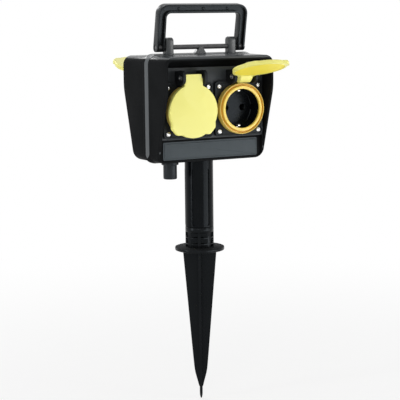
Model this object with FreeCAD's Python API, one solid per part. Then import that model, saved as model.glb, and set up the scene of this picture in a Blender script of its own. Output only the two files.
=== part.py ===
import FreeCAD, Part
import math
import os

from FreeCAD import Vector

# Four-way garden socket on a ground spike, in millimetres, +Z up.
# The origin is on the spike's axis at ground level, under the stop disc. The front faces -Y.

# Ground spike
DISC_RADIUS = 24.9
DISC_THICKNESS = 3.5
DISC_ROUND = 1.05
FIN_TOP_RADIUS = 17.0
FIN_LOW_RADIUS = 6.7
FIN_LENGTH = 123.5
FIN_THICKNESS = 3.0
NOSE_LENGTH = 18.5
NOSE_SHOULDER_RADIUS = 4.8
NOSE_SHOULDER_DROP = 7.8
NOSE_BEND = 14.0
NEEDLE_RADIUS = 1.5
NEEDLE_LENGTH = 13.0
NEEDLE_POINT = 3.0
NEEDLE_TIP_RADIUS = 0.5
SPIKE_TURN = -30.0
SPIKE_COLLAR_HEIGHT = 20.5
TOOTH_DEPTH = 1.9
TOOTH_COUNT = 3
TOOTH_LAND = 0.35
TOOTH_SLOPE = 0.85
COLLAR_RIBS = 6
COLLAR_RIB_WIDTH = 3.2

# Column
COLUMN_RADIUS = 14.3
COLUMN_BORE = 8.5
PLUG_RADIUS = 10.4
COLUMN_HEAD_RADIUS = 19.0
COLUMN_HEAD_THICKNESS = 2.5
FLUTE_COUNT = 6
FLUTE_RADIUS = 1.7
FLUTE_DEPTH = 1.1
FLUTE_MARGIN_TOP = 9.5
FLUTE_MARGIN_LOW = 2.0
COLUMN_HEIGHT = 89.0

# Housing, measured from the seam plane at y = 0
SIDE_MARGIN = 4.85
HOOD_GAP = 11.8
HOOD_DEPTH = 46.5
HOOD_DROP = 1.0
FOOT_DEPTH = 26.0
HOOD_STRAIGHT = 33.0
CORNER_RADIUS = 9.0
BROW_RADIUS = 7.2
HOOD_BEND_RADIUS = 45.0
FOOT_BEND_RADIUS = 6.0
RIM_FILLET = 1.6
WALL = 3.0
RECESS_WALL = 2.8
RECESS_RADIUS = 5.0
FLOOR_DEPTH = 24.5
FLOOR_THICKNESS = 2.5
LIP_HEIGHT = 2.3
HOOD_LIP = 3.8
BEAD_WIDTH = 8.5
BEAD_PROUD = 1.5
TONGUE_DEPTH = 2.0
TONGUE_THICKNESS = 1.15
SEAL_THICKNESS = 1.3
HOUSING_SCREW_INSET = 7.0
HOUSING_SCREW_DROP = 4.1
HOUSING_SCREW_RISE = 7.5
HOUSING_SCREW_RADIUS = 1.9
HOUSING_HEAD_RADIUS = 3.4
HOUSING_HEAD_HEIGHT = 2.6
HOUSING_DRIVE_RADIUS = 1.6
HOUSING_DRIVE_DEPTH = 1.5
HOUSING_POST_WALL = 2.0
HOUSING_SEAT_WALL = 2.6

# Socket units, two in each face
FLANGE_GAP = 2.7
SOCKET_ABOVE_FOOT = 51.0
FLANGE_SIDE = 53.8
FLANGE_THICKNESS = 3.2
FLANGE_RADIUS = 4.0
FLANGE_CHAMFER = 0.6
FLANGE_BORDER = 1.85
FLANGE_PANEL_DEPTH = 0.45
GASKET_THICKNESS = 0.6
GASKET_INSET = 1.0
PLATEAU_PROUD = 4.1
PLATEAU_ABOVE = 41.1
PLATEAU_BELOW = 28.0
WELL_RADIUS = 19.5
WELL_DEPTH = 17.5
COLLAR_RADIUS = 25.0
COLLAR_HEIGHT = 7.1
COLLAR_EDGE = 0.8
COLLAR_LIP = 0.4
COLLAR_BORE = 19.1
COLLAR_INNER_DROP = 0.3
COLLAR_DISH_DEPTH = 1.3
COLLAR_DISH_RADIUS = 21.8
COLLAR_DISH_FLOOR = 0.8
INSERT_RADIUS = 21.7
INSERT_LENGTH = 29.0
INSERT_NOSE = 5.2
INSERT_LIP_RADIUS = 23.5
INSERT_LIP_THICKNESS = 2.2
PIN_SPACING = 19.0
PIN_HOLE_RADIUS = 2.6
SLEEVE_RADIUS = 3.6
SLEEVE_WALL = 0.9
SLEEVE_SLIT = 0.8
SLEEVE_SLIT_LENGTH = 7.0
SLEEVE_SETBACK = 2.5
TERMINAL_SIDE = 7.0
TERMINAL_LENGTH = 3.0
CLIP_WIDTH = 5.0
CLIP_THICKNESS = 0.8
CLIP_REACH = 10.5
CLIP_BOW = 2.9
SCREW_PITCH = 44.0
SCREW_RADIUS = 1.5
SCREW_HEAD_RADIUS = 2.7
SCREW_HEAD_HEIGHT = 1.6
SCREW_LENGTH = 11.0
BOSS_WALL = 1.6
COUNTERBORE_RADIUS = 3.9
COUNTERBORE_DEPTH = 0.9

# Lids and their hinges
LID_RADIUS = 26.0
LID_PLATE = 2.0
LID_SKIRT = 4.0
LID_SKIRT_WALL = 1.8
LID_BRIM = 1.0
LID_EAR_X = 23.6
LID_EAR_Z = 22.8
LID_EAR_CUT_X = 5.6
LID_EAR_CUT_Z = 6.3
LID_EAR_ROUND = 2.5
NECK_WIDTH = 20.3
HINGE_ABOVE = 31.6
HINGE_FORWARD = 1.5
KNUCKLE_RADIUS = 6.2
KNUCKLE_WIDTH = 17.0
KNUCKLE_CHAMFER = 2.4
KNUCKLE_ABOVE_PIN = 3.5
KNUCKLE_STEP = 1.9
KNUCKLE_CORNER = 1.2
HINGE_PIN_RADIUS = 1.2
HINGE_HEAD_RADIUS = 2.6
HINGE_HEAD_THICKNESS = 0.9
HINGE_DIMPLE_RADIUS = 1.0
LUG_THICKNESS = 2.6
LUG_RADIUS = 6.4
LUG_ABOVE_PIN = 7.3
LUG_FOOT_ABOVE = 24.5
LUG_BROW = 0.85
LUG_CHIN = 4.5
LUG_CORNER = 1.0
SPRING_LENGTH = 8.0
SPRING_WIRE = 0.7
SPRING_PEG = 1.6
SPRING_PEG_RADIUS = 0.3
OPEN_ANGLE = 105.0
LID_GASKET_THICKNESS = 1.9

# Carrying handle
HANDLE_INSET = 10.8
HANDLE_BAR = 8.4
HANDLE_DEPTH = 9.0
HANDLE_REACH = 42.2
HANDLE_CORNER = 9.5
HANDLE_GROOVE_WALL = 1.9
HANDLE_GROOVE_DEPTH = 3.2
PIP_RADIUS = 1.5
PIP_HEIGHT = 0.7
PIP_SPACING = 27.0
HANDLE_TILT = 10.0
PIVOT_ABOVE = 5.9
PIVOT_BACK = -4.5
AXLE_RADIUS = 2.4
EAR_GAP = 1.55
EAR_THICKNESS = 8.5
EAR_DEPTH = 8.4
EAR_ABOVE_PIVOT = 9.5
EAR_ROOT = 1.5
EAR_CORNER = 2.2
SADDLE_BASE = 10.5
SADDLE_TOP = 2.4
SADDLE_ABOVE_PIVOT = 0.5
SADDLE_DEPTH = 3.3
AXLE_SETBACK = 0.4
HANDLE_EDGE = 0.8

# Cable inlet and inner fittings
INLET_INSET = 24.5
INLET_RADIUS = 6.8
INLET_LENGTH = 18.5
INLET_BORE = 4.3
INLET_HEAD_RADIUS = 9.0
INLET_HEAD_THICKNESS = 3.0
INLET_SHOULDER = 1.6
INLET_EDGE = 1.0
GRIP_POST_SPACING = 20.0
GRIP_POST_RADIUS = 3.4
GRIP_HEIGHT = 13.0
GRIP_BAR = 3.0
GRIP_SCREW_RADIUS = 1.4
GRIP_SCREW_LENGTH = 8.0
GRIP_BAR_HEIGHT = 7.0
TERMINAL_HOLE_RADIUS = 1.6
TERMINAL_POLES = 3
BLOCK_WIDTH = 26.0
BLOCK_HEIGHT = 12.0
BLOCK_DEPTH = 11.0
BLOCK_INSET = 19.0
LABEL_INSET = 4.5
LABEL_HEIGHT = 17.6
LABEL_THICKNESS = 0.5
LABEL_RADIUS = 1.5
LABEL_RISE = 0.6

# Clearances
RUNNING = 0.1
LOOSE = 0.3

# Places that follow from the sizes
SOCKET_PITCH = FLANGE_SIDE + FLANGE_GAP
BOX_WIDTH = SOCKET_PITCH + FLANGE_SIDE + 2 * SIDE_MARGIN
BOX_HEIGHT = SOCKET_ABOVE_FOOT + PLATEAU_ABOVE + HOOD_GAP
COLUMN_FOOT = DISC_THICKNESS + SPIKE_COLLAR_HEIGHT
BOX_FOOT = DISC_THICKNESS + COLUMN_HEIGHT
BOX_TOP = BOX_FOOT + BOX_HEIGHT
SOCKET_Z = BOX_FOOT + SOCKET_ABOVE_FOOT
PLATEAU_Y = FLOOR_DEPTH + PLATEAU_PROUD
FLANGE_BACK = PLATEAU_Y + GASKET_THICKNESS
FLANGE_FRONT = FLANGE_BACK + FLANGE_THICKNESS
COLLAR_FRONT = FLANGE_FRONT + COLLAR_HEIGHT
WELL_FLOOR = COLLAR_FRONT - WELL_DEPTH
INSERT_FRONT = FLANGE_FRONT + INSERT_NOSE
INSERT_BACK = INSERT_FRONT - INSERT_LENGTH
HINGE_Y = COLLAR_FRONT + HINGE_FORWARD
HINGE_Z = SOCKET_Z + HINGE_ABOVE
SPRING_RADIUS = HINGE_PIN_RADIUS + RUNNING + SPRING_WIRE
LID_BACK = COLLAR_FRONT + LOOSE
LID_FRONT = LID_BACK + LID_SKIRT
CAVITY_HALF = BOX_WIDTH / 2 - WALL
CAVITY_FOOT = BOX_FOOT + WALL
CAVITY_TOP = BOX_TOP - HOOD_DROP * FLOOR_DEPTH / HOOD_DEPTH - WALL
CAVITY_DEPTH = FLOOR_DEPTH - FLOOR_THICKNESS
RECESS_HALF = BOX_WIDTH / 2 - RECESS_WALL
RECESS_TOP = BOX_TOP - HOOD_DROP - HOOD_LIP
LABEL_WIDTH = 2 * (RECESS_HALF - LABEL_INSET)
PIVOT_Z = BOX_TOP + BEAD_PROUD + PIVOT_ABOVE
HANDLE_WIDTH = BOX_WIDTH - 2 * HANDLE_INSET
EAR_X = HANDLE_WIDTH / 2 - HANDLE_BAR - EAR_GAP - EAR_THICKNESS / 2
INLET_X = -(CAVITY_HALF - INLET_INSET)
BLOCK_X = CAVITY_HALF - BLOCK_INSET - BLOCK_WIDTH
OVERRUN = BOX_WIDTH


def box(x0, x1, y0, y1, z0, z1):
    return Part.makeBox(x1 - x0, y1 - y0, z1 - z0, Vector(x0, y0, z0))


def rod_x(radius, x0, x1, y, z):
    return Part.makeCylinder(radius, x1 - x0, Vector(x0, y, z), Vector(1, 0, 0))


def rod_y(radius, y0, y1, x, z):
    return Part.makeCylinder(radius, y1 - y0, Vector(x, y0, z), Vector(0, 1, 0))


def rod_z(radius, z0, z1, x=0.0, y=0.0):
    return Part.makeCylinder(radius, z1 - z0, Vector(x, y, z0))


def rounded_wire(corners, place):
    """A closed wire through (u, v, radius) corners, each rounded by its radius."""
    flat = [Vector(u, v, 0) for u, v, radius in corners]
    count = len(corners)
    starts, ends, middles = [], [], []
    for i, (u, v, radius) in enumerate(corners):
        here = flat[i]
        back = (flat[i - 1] - here).normalize()
        onward = (flat[(i + 1) % count] - here).normalize()
        half = back.getAngle(onward) / 2
        reach = radius / math.tan(half)
        inward = (back + onward).normalize() if radius > 0 else Vector(0, 0, 0)
        starts.append(here + back * reach)
        ends.append(here + onward * reach)
        middles.append(here + inward * (radius / math.sin(half) - radius))
    edges = []
    for i, (u, v, radius) in enumerate(corners):
        if radius > 0:
            edges.append(Part.Arc(place(starts[i]), place(middles[i]), place(ends[i])).toShape())
        following = starts[(i + 1) % count]
        if ends[i].distanceToPoint(following) > 1e-6:
            edges.append(Part.LineSegment(place(ends[i]), place(following)).toShape())
    return Part.Wire(edges)


def side_prism(corners, x0, x1):
    """A side outline of (y, z, radius) corners, drawn along X."""
    wire = rounded_wire(corners, lambda p: Vector(x0, p.x, p.y))
    return Part.Face(wire).extrude(Vector(x1 - x0, 0, 0))


def front_prism(corners, y0, y1):
    """A front outline of (x, z, radius) corners, drawn along Y."""
    wire = rounded_wire(corners, lambda p: Vector(p.x, y0, p.y))
    return Part.Face(wire).extrude(Vector(0, y1 - y0, 0))


def rectangle(half, z0, z1, radius):
    return [(-half, z0, radius), (half, z0, radius), (half, z1, radius), (-half, z1, radius)]


def turned_back(shape):
    """The same piece on the rear face."""
    copy = shape.copy()
    copy.rotate(Vector(0, 0, 0), Vector(0, 0, 1), 180)
    return copy


def revolved(corners, axis_point, axis, angle=360.0):
    wire = Part.makePolygon([Vector(*p) for p in corners] + [Vector(*corners[0])])
    return Part.Face(wire).revolve(axis_point, axis, angle)


def save(name, shapes):
    shapes = shapes if isinstance(shapes, list) else [shapes]
    solids = [solid for shape in shapes for solid in shape.removeSplitter().Solids]
    whole = solids[0] if len(solids) == 1 else Part.makeCompound(solids)
    whole.exportStep("parts/" + name + ".step")
    print(name, len(solids), round(sum(s.Volume for s in solids)), all(s.isValid() for s in solids))


# Ground spike: crossed fins, a needle point, the stop disc and the toothed collar
def spike_fin():
    low = -FIN_LENGTH
    nose = low - NOSE_LENGTH
    corners = [
        (-NEEDLE_RADIUS, nose, 0.0),
        (NEEDLE_RADIUS, nose, 0.0),
        (NOSE_SHOULDER_RADIUS, low - NOSE_SHOULDER_DROP, NOSE_BEND),
        (FIN_LOW_RADIUS, low, NOSE_BEND),
        (FIN_TOP_RADIUS, 0.0, 0.0),
        (-FIN_TOP_RADIUS, 0.0, 0.0),
        (-FIN_LOW_RADIUS, low, NOSE_BEND),
        (-NOSE_SHOULDER_RADIUS, low - NOSE_SHOULDER_DROP, NOSE_BEND),
    ]
    fin = front_prism(corners, -FIN_THICKNESS / 2, FIN_THICKNESS / 2)
    crossed = fin.copy()
    crossed.rotate(Vector(0, 0, 0), Vector(0, 0, 1), 90)
    return fin.fuse(crossed)


def spike_needle():
    top = -FIN_LENGTH - NOSE_SHOULDER_DROP
    foot = -FIN_LENGTH - NOSE_LENGTH - NEEDLE_LENGTH
    outline = [
        (0, 0, top),
        (NEEDLE_RADIUS, 0, top),
        (NEEDLE_RADIUS, 0, foot + NEEDLE_POINT),
        (NEEDLE_TIP_RADIUS, 0, foot),
        (0, 0, foot),
    ]
    return revolved(outline, Vector(0, 0, 0), Vector(0, 0, 1))


def toothed_collar():
    """Saw-tooth rings that the ribs cross, with the column's bore inside."""
    pitch = SPIKE_COLLAR_HEIGHT / (TOOTH_COUNT + 0.5)
    root = COLUMN_RADIUS - TOOTH_DEPTH
    outline = [(0, 0, DISC_THICKNESS)]
    for k in range(TOOTH_COUNT):
        foot = DISC_THICKNESS + k * pitch
        outline.append((COLUMN_RADIUS, 0, foot))
        outline.append((COLUMN_RADIUS, 0, foot + pitch * TOOTH_LAND))
        outline.append((root, 0, foot + pitch * TOOTH_SLOPE))
        outline.append((root, 0, foot + pitch))
    outline.append((COLUMN_RADIUS, 0, DISC_THICKNESS + TOOTH_COUNT * pitch))
    outline.append((COLUMN_RADIUS, 0, COLUMN_FOOT))
    outline.append((0, 0, COLUMN_FOOT))
    collar = revolved(outline, Vector(0, 0, 0), Vector(0, 0, 1))
    sleeve = rod_z(COLUMN_RADIUS, DISC_THICKNESS, COLUMN_FOOT)
    half = COLLAR_RIB_WIDTH / 2
    rib = box(0, COLUMN_RADIUS, -half, half, DISC_THICKNESS, COLUMN_FOOT)
    for k in range(COLLAR_RIBS):
        turned = rib.copy()
        turned.rotate(Vector(0, 0, 0), Vector(0, 0, 1), k * 360 / COLLAR_RIBS)
        collar = collar.fuse(turned.common(sleeve))
    return collar


def ground_spike():
    disc = rod_z(DISC_RADIUS, 0, DISC_THICKNESS)
    rims = [edge for edge in disc.Edges if edge.Curve.TypeId == "Part::GeomCircle"]
    disc = disc.makeFillet(DISC_ROUND, rims)
    spike = disc.fuse([spike_fin(), spike_needle(), toothed_collar()])
    spike.rotate(Vector(0, 0, 0), Vector(0, 0, 1), SPIKE_TURN)
    return spike.cut(rod_z(PLUG_RADIUS + RUNNING, DISC_THICKNESS, COLUMN_FOOT))


# Column: a fluted tube, its plug sits in the spike and its head inside the housing
def column():
    head_foot = CAVITY_FOOT
    tube = rod_z(COLUMN_RADIUS, COLUMN_FOOT, head_foot + COLUMN_HEAD_THICKNESS)
    plug = rod_z(PLUG_RADIUS, DISC_THICKNESS, COLUMN_FOOT)
    head = rod_z(COLUMN_HEAD_RADIUS, head_foot, head_foot + COLUMN_HEAD_THICKNESS)
    whole = tube.fuse([plug, head])
    low = COLUMN_FOOT + FLUTE_MARGIN_LOW + FLUTE_RADIUS
    high = BOX_FOOT - FLUTE_MARGIN_TOP - FLUTE_RADIUS
    reach = COLUMN_RADIUS - FLUTE_DEPTH
    cutters = []
    for k in range(FLUTE_COUNT):
        slot = box(reach, COLUMN_RADIUS + 1, -FLUTE_RADIUS, FLUTE_RADIUS, low, high)
        for z in (low, high):
            slot = slot.fuse(rod_x(FLUTE_RADIUS, reach, COLUMN_RADIUS + 1, 0, z))
        slot.rotate(Vector(0, 0, 0), Vector(0, 0, 1), k * 360 / FLUTE_COUNT + 30)
        cutters.append(slot)
    cutters.append(rod_z(COLUMN_BORE, DISC_THICKNESS, head_foot + COLUMN_HEAD_THICKNESS))
    return whole.cut(cutters)


# Housing shells
def shell_block():
    """The outer form of one half: hood deep at the top, drawn back towards the foot."""
    seam = rectangle(BOX_WIDTH / 2, BOX_FOOT, BOX_TOP, CORNER_RADIUS)
    brow = rectangle(BOX_WIDTH / 2, BOX_FOOT, BOX_TOP - HOOD_DROP, BROW_RADIUS)
    back = rounded_wire(seam, lambda p: Vector(p.x, 0, p.y))
    front = rounded_wire(brow, lambda p: Vector(p.x, -HOOD_DEPTH, p.y))
    block = Part.makeLoft([back, front], True, True)
    bend = BOX_TOP - HOOD_STRAIGHT
    side = [
        (1.0, BOX_FOOT - 1, 0.0),
        (-FOOT_DEPTH + 1, BOX_FOOT - 1, 0.0),
        (-FOOT_DEPTH, BOX_FOOT + LIP_HEIGHT, FOOT_BEND_RADIUS),
        (-HOOD_DEPTH, bend, HOOD_BEND_RADIUS),
        (-HOOD_DEPTH, BOX_TOP + 1, 0.0),
        (1.0, BOX_TOP + 1, 0.0),
    ]
    block = block.common(side_prism(side, -BOX_WIDTH, BOX_WIDTH))
    rim = []
    for edge in block.Edges:
        middle = edge.CenterOfMass
        spread = edge.BoundBox
        forward = middle.y < -FOOT_DEPTH * 0.8 and spread.YMax < -FOOT_DEPTH * 0.6
        if forward and spread.XLength < BOX_WIDTH / 2:
            rim.append(edge)
        elif middle.y < -HOOD_DEPTH + 0.5 and middle.z > BOX_TOP - HOOD_DROP - 1:
            rim.append(edge)
    return block.makeFillet(RIM_FILLET, rim)


def screw_places():
    reach = CAVITY_HALF - HOUSING_SCREW_INSET
    heights = (CAVITY_FOOT + HOUSING_SCREW_RISE, CAVITY_TOP - HOUSING_SCREW_DROP)
    return [(x, z) for z in heights for x in (-reach, reach)]


def socket_places():
    return [-SOCKET_PITCH / 2, SOCKET_PITCH / 2]


def shell_half(inlet_x):
    """One shell with recess, socket plateau and cavity, and the cutters still to be used on it."""
    shell = shell_block()
    recess = rectangle(RECESS_HALF, BOX_FOOT + LIP_HEIGHT, RECESS_TOP, RECESS_RADIUS)
    shell = shell.cut(front_prism(recess, -HOOD_DEPTH - 1, -FLOOR_DEPTH))
    low = SOCKET_Z - PLATEAU_BELOW
    high = SOCKET_Z + PLATEAU_ABOVE
    plateau = box(-RECESS_HALF, RECESS_HALF, -PLATEAU_Y, -FLOOR_DEPTH, low, high)
    shell = shell.fuse(plateau)
    mouth = rectangle(CAVITY_HALF, CAVITY_FOOT, CAVITY_TOP, RECESS_RADIUS)
    cavity = front_prism(mouth, -CAVITY_DEPTH, 1)
    pocket = box(
        -CAVITY_HALF + FLOOR_THICKNESS,
        CAVITY_HALF - FLOOR_THICKNESS,
        -PLATEAU_Y + FLOOR_THICKNESS,
        -CAVITY_DEPTH,
        low + FLOOR_THICKNESS,
        high - FLOOR_THICKNESS,
    )
    shell = shell.cut([cavity, pocket])
    cutters = foot_cutters(inlet_x)
    bosses = []
    for x in socket_places():
        cutters.append(rod_y(INSERT_LIP_RADIUS + LOOSE, -PLATEAU_Y - 1, -CAVITY_DEPTH, x, SOCKET_Z))
        for u, v in screw_corners(x):
            bosses.append(rod_y(SCREW_RADIUS + BOSS_WALL, -PLATEAU_Y, -CAVITY_DEPTH, u, v))
            cutters.append(rod_y(SCREW_RADIUS + RUNNING / 2, -PLATEAU_Y - 1, -CAVITY_DEPTH + 2, u, v))
    return shell.fuse(bosses), cutters


def foot_cutters(inlet_x):
    """The holes for the column and the cable inlet, which the seam divides."""
    foot = BOX_FOOT - BEAD_PROUD - 1
    column_hole = rod_z(COLUMN_RADIUS + RUNNING, foot, CAVITY_FOOT)
    return [column_hole, rod_z(INLET_RADIUS + RUNNING, foot, CAVITY_FOOT, inlet_x)]


def seam_ring(outer_gap, y0, y1):
    """A frame that lies round the cavity's mouth, outer_gap thick."""
    inner = front_prism(rectangle(CAVITY_HALF, CAVITY_FOOT, CAVITY_TOP, RECESS_RADIUS), y0 - 1, y1 + 1)
    outline = rectangle(
        CAVITY_HALF + outer_gap, CAVITY_FOOT - outer_gap, CAVITY_TOP + outer_gap, RECESS_RADIUS + outer_gap
    )
    return front_prism(outline, y0, y1).cut(inner)


def handle_ear(x):
    foot = BOX_TOP - EAR_ROOT
    top = PIVOT_Z + EAR_ABOVE_PIVOT
    side = [
        (PIVOT_BACK - EAR_DEPTH / 2, foot, 0.0),
        (PIVOT_BACK + EAR_DEPTH / 2, foot, 0.0),
        (PIVOT_BACK + EAR_DEPTH / 2, top, EAR_DEPTH * 0.45),
        (PIVOT_BACK - EAR_DEPTH / 2, top, EAR_DEPTH * 0.45),
    ]
    ear = side_prism(side, x - EAR_THICKNESS / 2, x + EAR_THICKNESS / 2)
    brow = [
        (x - EAR_THICKNESS / 2, foot, 0.0),
        (x + EAR_THICKNESS / 2, foot, 0.0),
        (x + EAR_THICKNESS / 2, top, EAR_CORNER),
        (x - EAR_THICKNESS / 2, top, EAR_CORNER),
    ]
    return ear.common(front_prism(brow, -HOOD_DEPTH, HOOD_DEPTH))


def axle_saddle():
    """A three-cornered web that the axle lies in at mid-length."""
    foot = BOX_TOP - EAR_ROOT
    brow = [
        (-SADDLE_BASE / 2, foot, 0.0),
        (SADDLE_BASE / 2, foot, 0.0),
        (SADDLE_BASE / 2, BOX_TOP + BEAD_PROUD, 0.0),
        (SADDLE_TOP / 2, PIVOT_Z + SADDLE_ABOVE_PIVOT, 0.0),
        (-SADDLE_TOP / 2, PIVOT_Z + SADDLE_ABOVE_PIVOT, 0.0),
        (-SADDLE_BASE / 2, BOX_TOP + BEAD_PROUD, 0.0),
    ]
    return front_prism(brow, PIVOT_BACK - SADDLE_DEPTH, PIVOT_BACK + SADDLE_DEPTH)


def front_shell():
    shell, cutters = shell_half(INLET_X)
    bead = rectangle(
        BOX_WIDTH / 2 + BEAD_PROUD, BOX_FOOT - BEAD_PROUD, BOX_TOP + BEAD_PROUD, CORNER_RADIUS + BEAD_PROUD
    )
    bead = front_prism(bead, -BEAD_WIDTH, 0)
    bead = bead.makeFillet(BEAD_PROUD * 0.9, [e for e in bead.Edges if e.BoundBox.YLength < 0.01])
    mouth = rectangle(CAVITY_HALF, CAVITY_FOOT, CAVITY_TOP, RECESS_RADIUS)
    bead = bead.cut(front_prism(mouth, -BEAD_WIDTH, 1))
    ears = [handle_ear(x) for x in (-EAR_X, EAR_X)]
    shell = shell.fuse([bead, axle_saddle()] + ears)
    rebate_depth = TONGUE_DEPTH + SEAL_THICKNESS
    cutters.append(seam_ring(TONGUE_THICKNESS + RUNNING, -rebate_depth, 0.5))
    cutters.append(rod_x(AXLE_RADIUS + RUNNING / 2, -BOX_WIDTH, BOX_WIDTH, PIVOT_BACK, PIVOT_Z))
    posts = []
    for x, z in screw_places():
        posts.append(rod_y(HOUSING_SCREW_RADIUS + HOUSING_POST_WALL, -CAVITY_DEPTH - 1, 0, x, z))
        cutters.append(rod_y(HOUSING_SCREW_RADIUS + RUNNING / 2, -CAVITY_DEPTH + 2, 1, x, z))
    for x in grip_places():
        posts.append(rod_y(GRIP_POST_RADIUS, -CAVITY_DEPTH - 1, -INLET_BORE - GRIP_BAR, x, grip_z()))
        hole_foot = -INLET_BORE - GRIP_BAR - GRIP_SCREW_LENGTH - 1
        cutters.append(rod_y(GRIP_SCREW_RADIUS + RUNNING / 2, hole_foot, 0, x, grip_z()))
    return shell.fuse(posts).cut(cutters)


def rear_shell():
    shell, cutters = shell_half(-INLET_X)
    posts = []
    for x, z in screw_places():
        posts.append(rod_y(HOUSING_SCREW_RADIUS + HOUSING_SEAT_WALL, -CAVITY_DEPTH - 1, 0, x, z))
        cutters.append(rod_y(HOUSING_SCREW_RADIUS + RUNNING, -FLOOR_DEPTH - 1, 1, x, z))
        seat = -FLOOR_DEPTH + HOUSING_HEAD_HEIGHT
        cutters.append(rod_y(HOUSING_HEAD_RADIUS + RUNNING, -FLOOR_DEPTH - 1, seat, x, z))
    tongue = seam_ring(TONGUE_THICKNESS, -1, TONGUE_DEPTH)
    shell = shell.fuse(posts + [tongue])
    return turned_back(shell.cut(cutters))


def housing_seal():
    """The cord in the groove, interrupted by the column and the cable inlet."""
    ring = seam_ring(TONGUE_THICKNESS, -TONGUE_DEPTH - SEAL_THICKNESS, -TONGUE_DEPTH)
    return ring.cut(foot_cutters(INLET_X))


def housing_screws():
    screws = []
    for x, z in screw_places():
        head_seat = FLOOR_DEPTH - HOUSING_HEAD_HEIGHT
        shank = rod_y(HOUSING_SCREW_RADIUS, -CAVITY_DEPTH + 3, head_seat, -x, z)
        crown = FLOOR_DEPTH - LOOSE
        head = rod_y(HOUSING_HEAD_RADIUS, head_seat, crown, -x, z)
        recess = rod_y(HOUSING_DRIVE_RADIUS, crown - HOUSING_DRIVE_DEPTH, FLOOR_DEPTH, -x, z)
        screws.append(shank.fuse(head).cut(recess))
    return screws


# Socket unit at (x, SOCKET_Z) in the front face
def around_socket(x, half, radius):
    return [(x + u, SOCKET_Z + v, r) for u, v, r in rectangle(half, -half, half, radius)]


def socket_flange(x):
    plate = front_prism(around_socket(x, FLANGE_SIDE / 2, FLANGE_RADIUS), -FLANGE_FRONT, -FLANGE_BACK)
    rim = [e for e in plate.Edges if abs(e.CenterOfMass.y + FLANGE_FRONT) < 0.01]
    plate = plate.makeChamfer(FLANGE_CHAMFER, rim)
    panel_half = FLANGE_SIDE / 2 - FLANGE_BORDER
    panel_floor = -FLANGE_FRONT + FLANGE_PANEL_DEPTH
    outline = around_socket(x, panel_half, FLANGE_RADIUS - FLANGE_BORDER)
    panel = front_prism(outline, -FLANGE_FRONT - 1, panel_floor)
    land = rod_y(COLLAR_RADIUS, -FLANGE_FRONT - 1, panel_floor, x, SOCKET_Z)
    plate = plate.cut(panel.cut(land))
    root = SOCKET_Z + LUG_FOOT_ABOVE
    top = HINGE_Z + LUG_ABOVE_PIN
    tip = HINGE_Y + LUG_RADIUS
    lugs = []
    for side in (-1, 1):
        near = x + side * (NECK_WIDTH / 2 + LOOSE)
        far = near + side * LUG_THICKNESS
        outline = [
            (-FLANGE_BACK, root, 0.0),
            (-FLANGE_BACK, top - LUG_CORNER, LUG_CORNER),
            (-HINGE_Y, top, LUG_CORNER),
            (-tip, top, LUG_RADIUS * LUG_BROW),
            (-tip, HINGE_Z - LUG_RADIUS + LUG_CHIN / 2, LUG_CHIN),
            (-HINGE_Y, root, LUG_CORNER),
        ]
        lugs.append(side_prism(outline, min(near, far), max(near, far)))
    cutters = [rod_y(INSERT_RADIUS + RUNNING, -FLANGE_FRONT - 1, -FLANGE_BACK + 1, x, SOCKET_Z)]
    cutters.append(rod_x(HINGE_PIN_RADIUS + RUNNING / 2, x - OVERRUN, x + OVERRUN, -HINGE_Y, HINGE_Z))
    cutters.append(spring_peg(x, SPRING_PEG_RADIUS + RUNNING / 2))
    for u, v in screw_corners(x):
        cutters.append(rod_y(SCREW_RADIUS + RUNNING, -FLANGE_FRONT - 1, -FLANGE_BACK + 1, u, v))
        bore = rod_y(COUNTERBORE_RADIUS, -FLANGE_FRONT - 1, -FLANGE_FRONT + COUNTERBORE_DEPTH, u, v)
        cutters.append(bore)
    return plate.fuse(lugs).cut(cutters)


def screw_corners(x):
    half = SCREW_PITCH / 2
    return [(x + dx, SOCKET_Z + dz) for dx in (-half, half) for dz in (-half, half)]


def flange_gasket(x):
    outline = around_socket(x, FLANGE_SIDE / 2 - GASKET_INSET, FLANGE_RADIUS - GASKET_INSET)
    sheet = front_prism(outline, -FLANGE_BACK, -PLATEAU_Y)
    cutters = [rod_y(INSERT_LIP_RADIUS + LOOSE, -FLANGE_BACK - 1, -PLATEAU_Y + 1, x, SOCKET_Z)]
    for u, v in screw_corners(x):
        cutters.append(rod_y(SCREW_RADIUS + RUNNING, -FLANGE_BACK - 1, -PLATEAU_Y + 1, u, v))
    return sheet.cut(cutters)


def socket_collar(x):
    """The coloured ring: its face is dished between an outer and an inner lip."""
    dish = -COLLAR_FRONT + COLLAR_DISH_DEPTH
    inner = -COLLAR_FRONT + COLLAR_INNER_DROP
    outline = [
        (COLLAR_RADIUS, -FLANGE_FRONT),
        (COLLAR_RADIUS, -COLLAR_FRONT + COLLAR_EDGE),
        (COLLAR_RADIUS - COLLAR_EDGE, -COLLAR_FRONT),
        (COLLAR_RADIUS - COLLAR_EDGE - COLLAR_LIP, -COLLAR_FRONT),
        (COLLAR_DISH_RADIUS + COLLAR_DISH_FLOOR / 2, dish),
        (COLLAR_DISH_RADIUS - COLLAR_DISH_FLOOR / 2, dish),
        (COLLAR_BORE + COLLAR_EDGE, inner),
        (COLLAR_BORE + COLLAR_INNER_DROP, inner),
        (COLLAR_BORE, inner + COLLAR_INNER_DROP),
        (COLLAR_BORE, -INSERT_FRONT),
        (INSERT_RADIUS + RUNNING, -INSERT_FRONT),
        (INSERT_RADIUS + RUNNING, -FLANGE_FRONT),
    ]
    corners = [(x + radius, y, SOCKET_Z) for radius, y in outline]
    return revolved(corners, Vector(x, 0, SOCKET_Z), Vector(0, 1, 0))


def pin_places(x):
    return [x - PIN_SPACING / 2, x + PIN_SPACING / 2]


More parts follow.
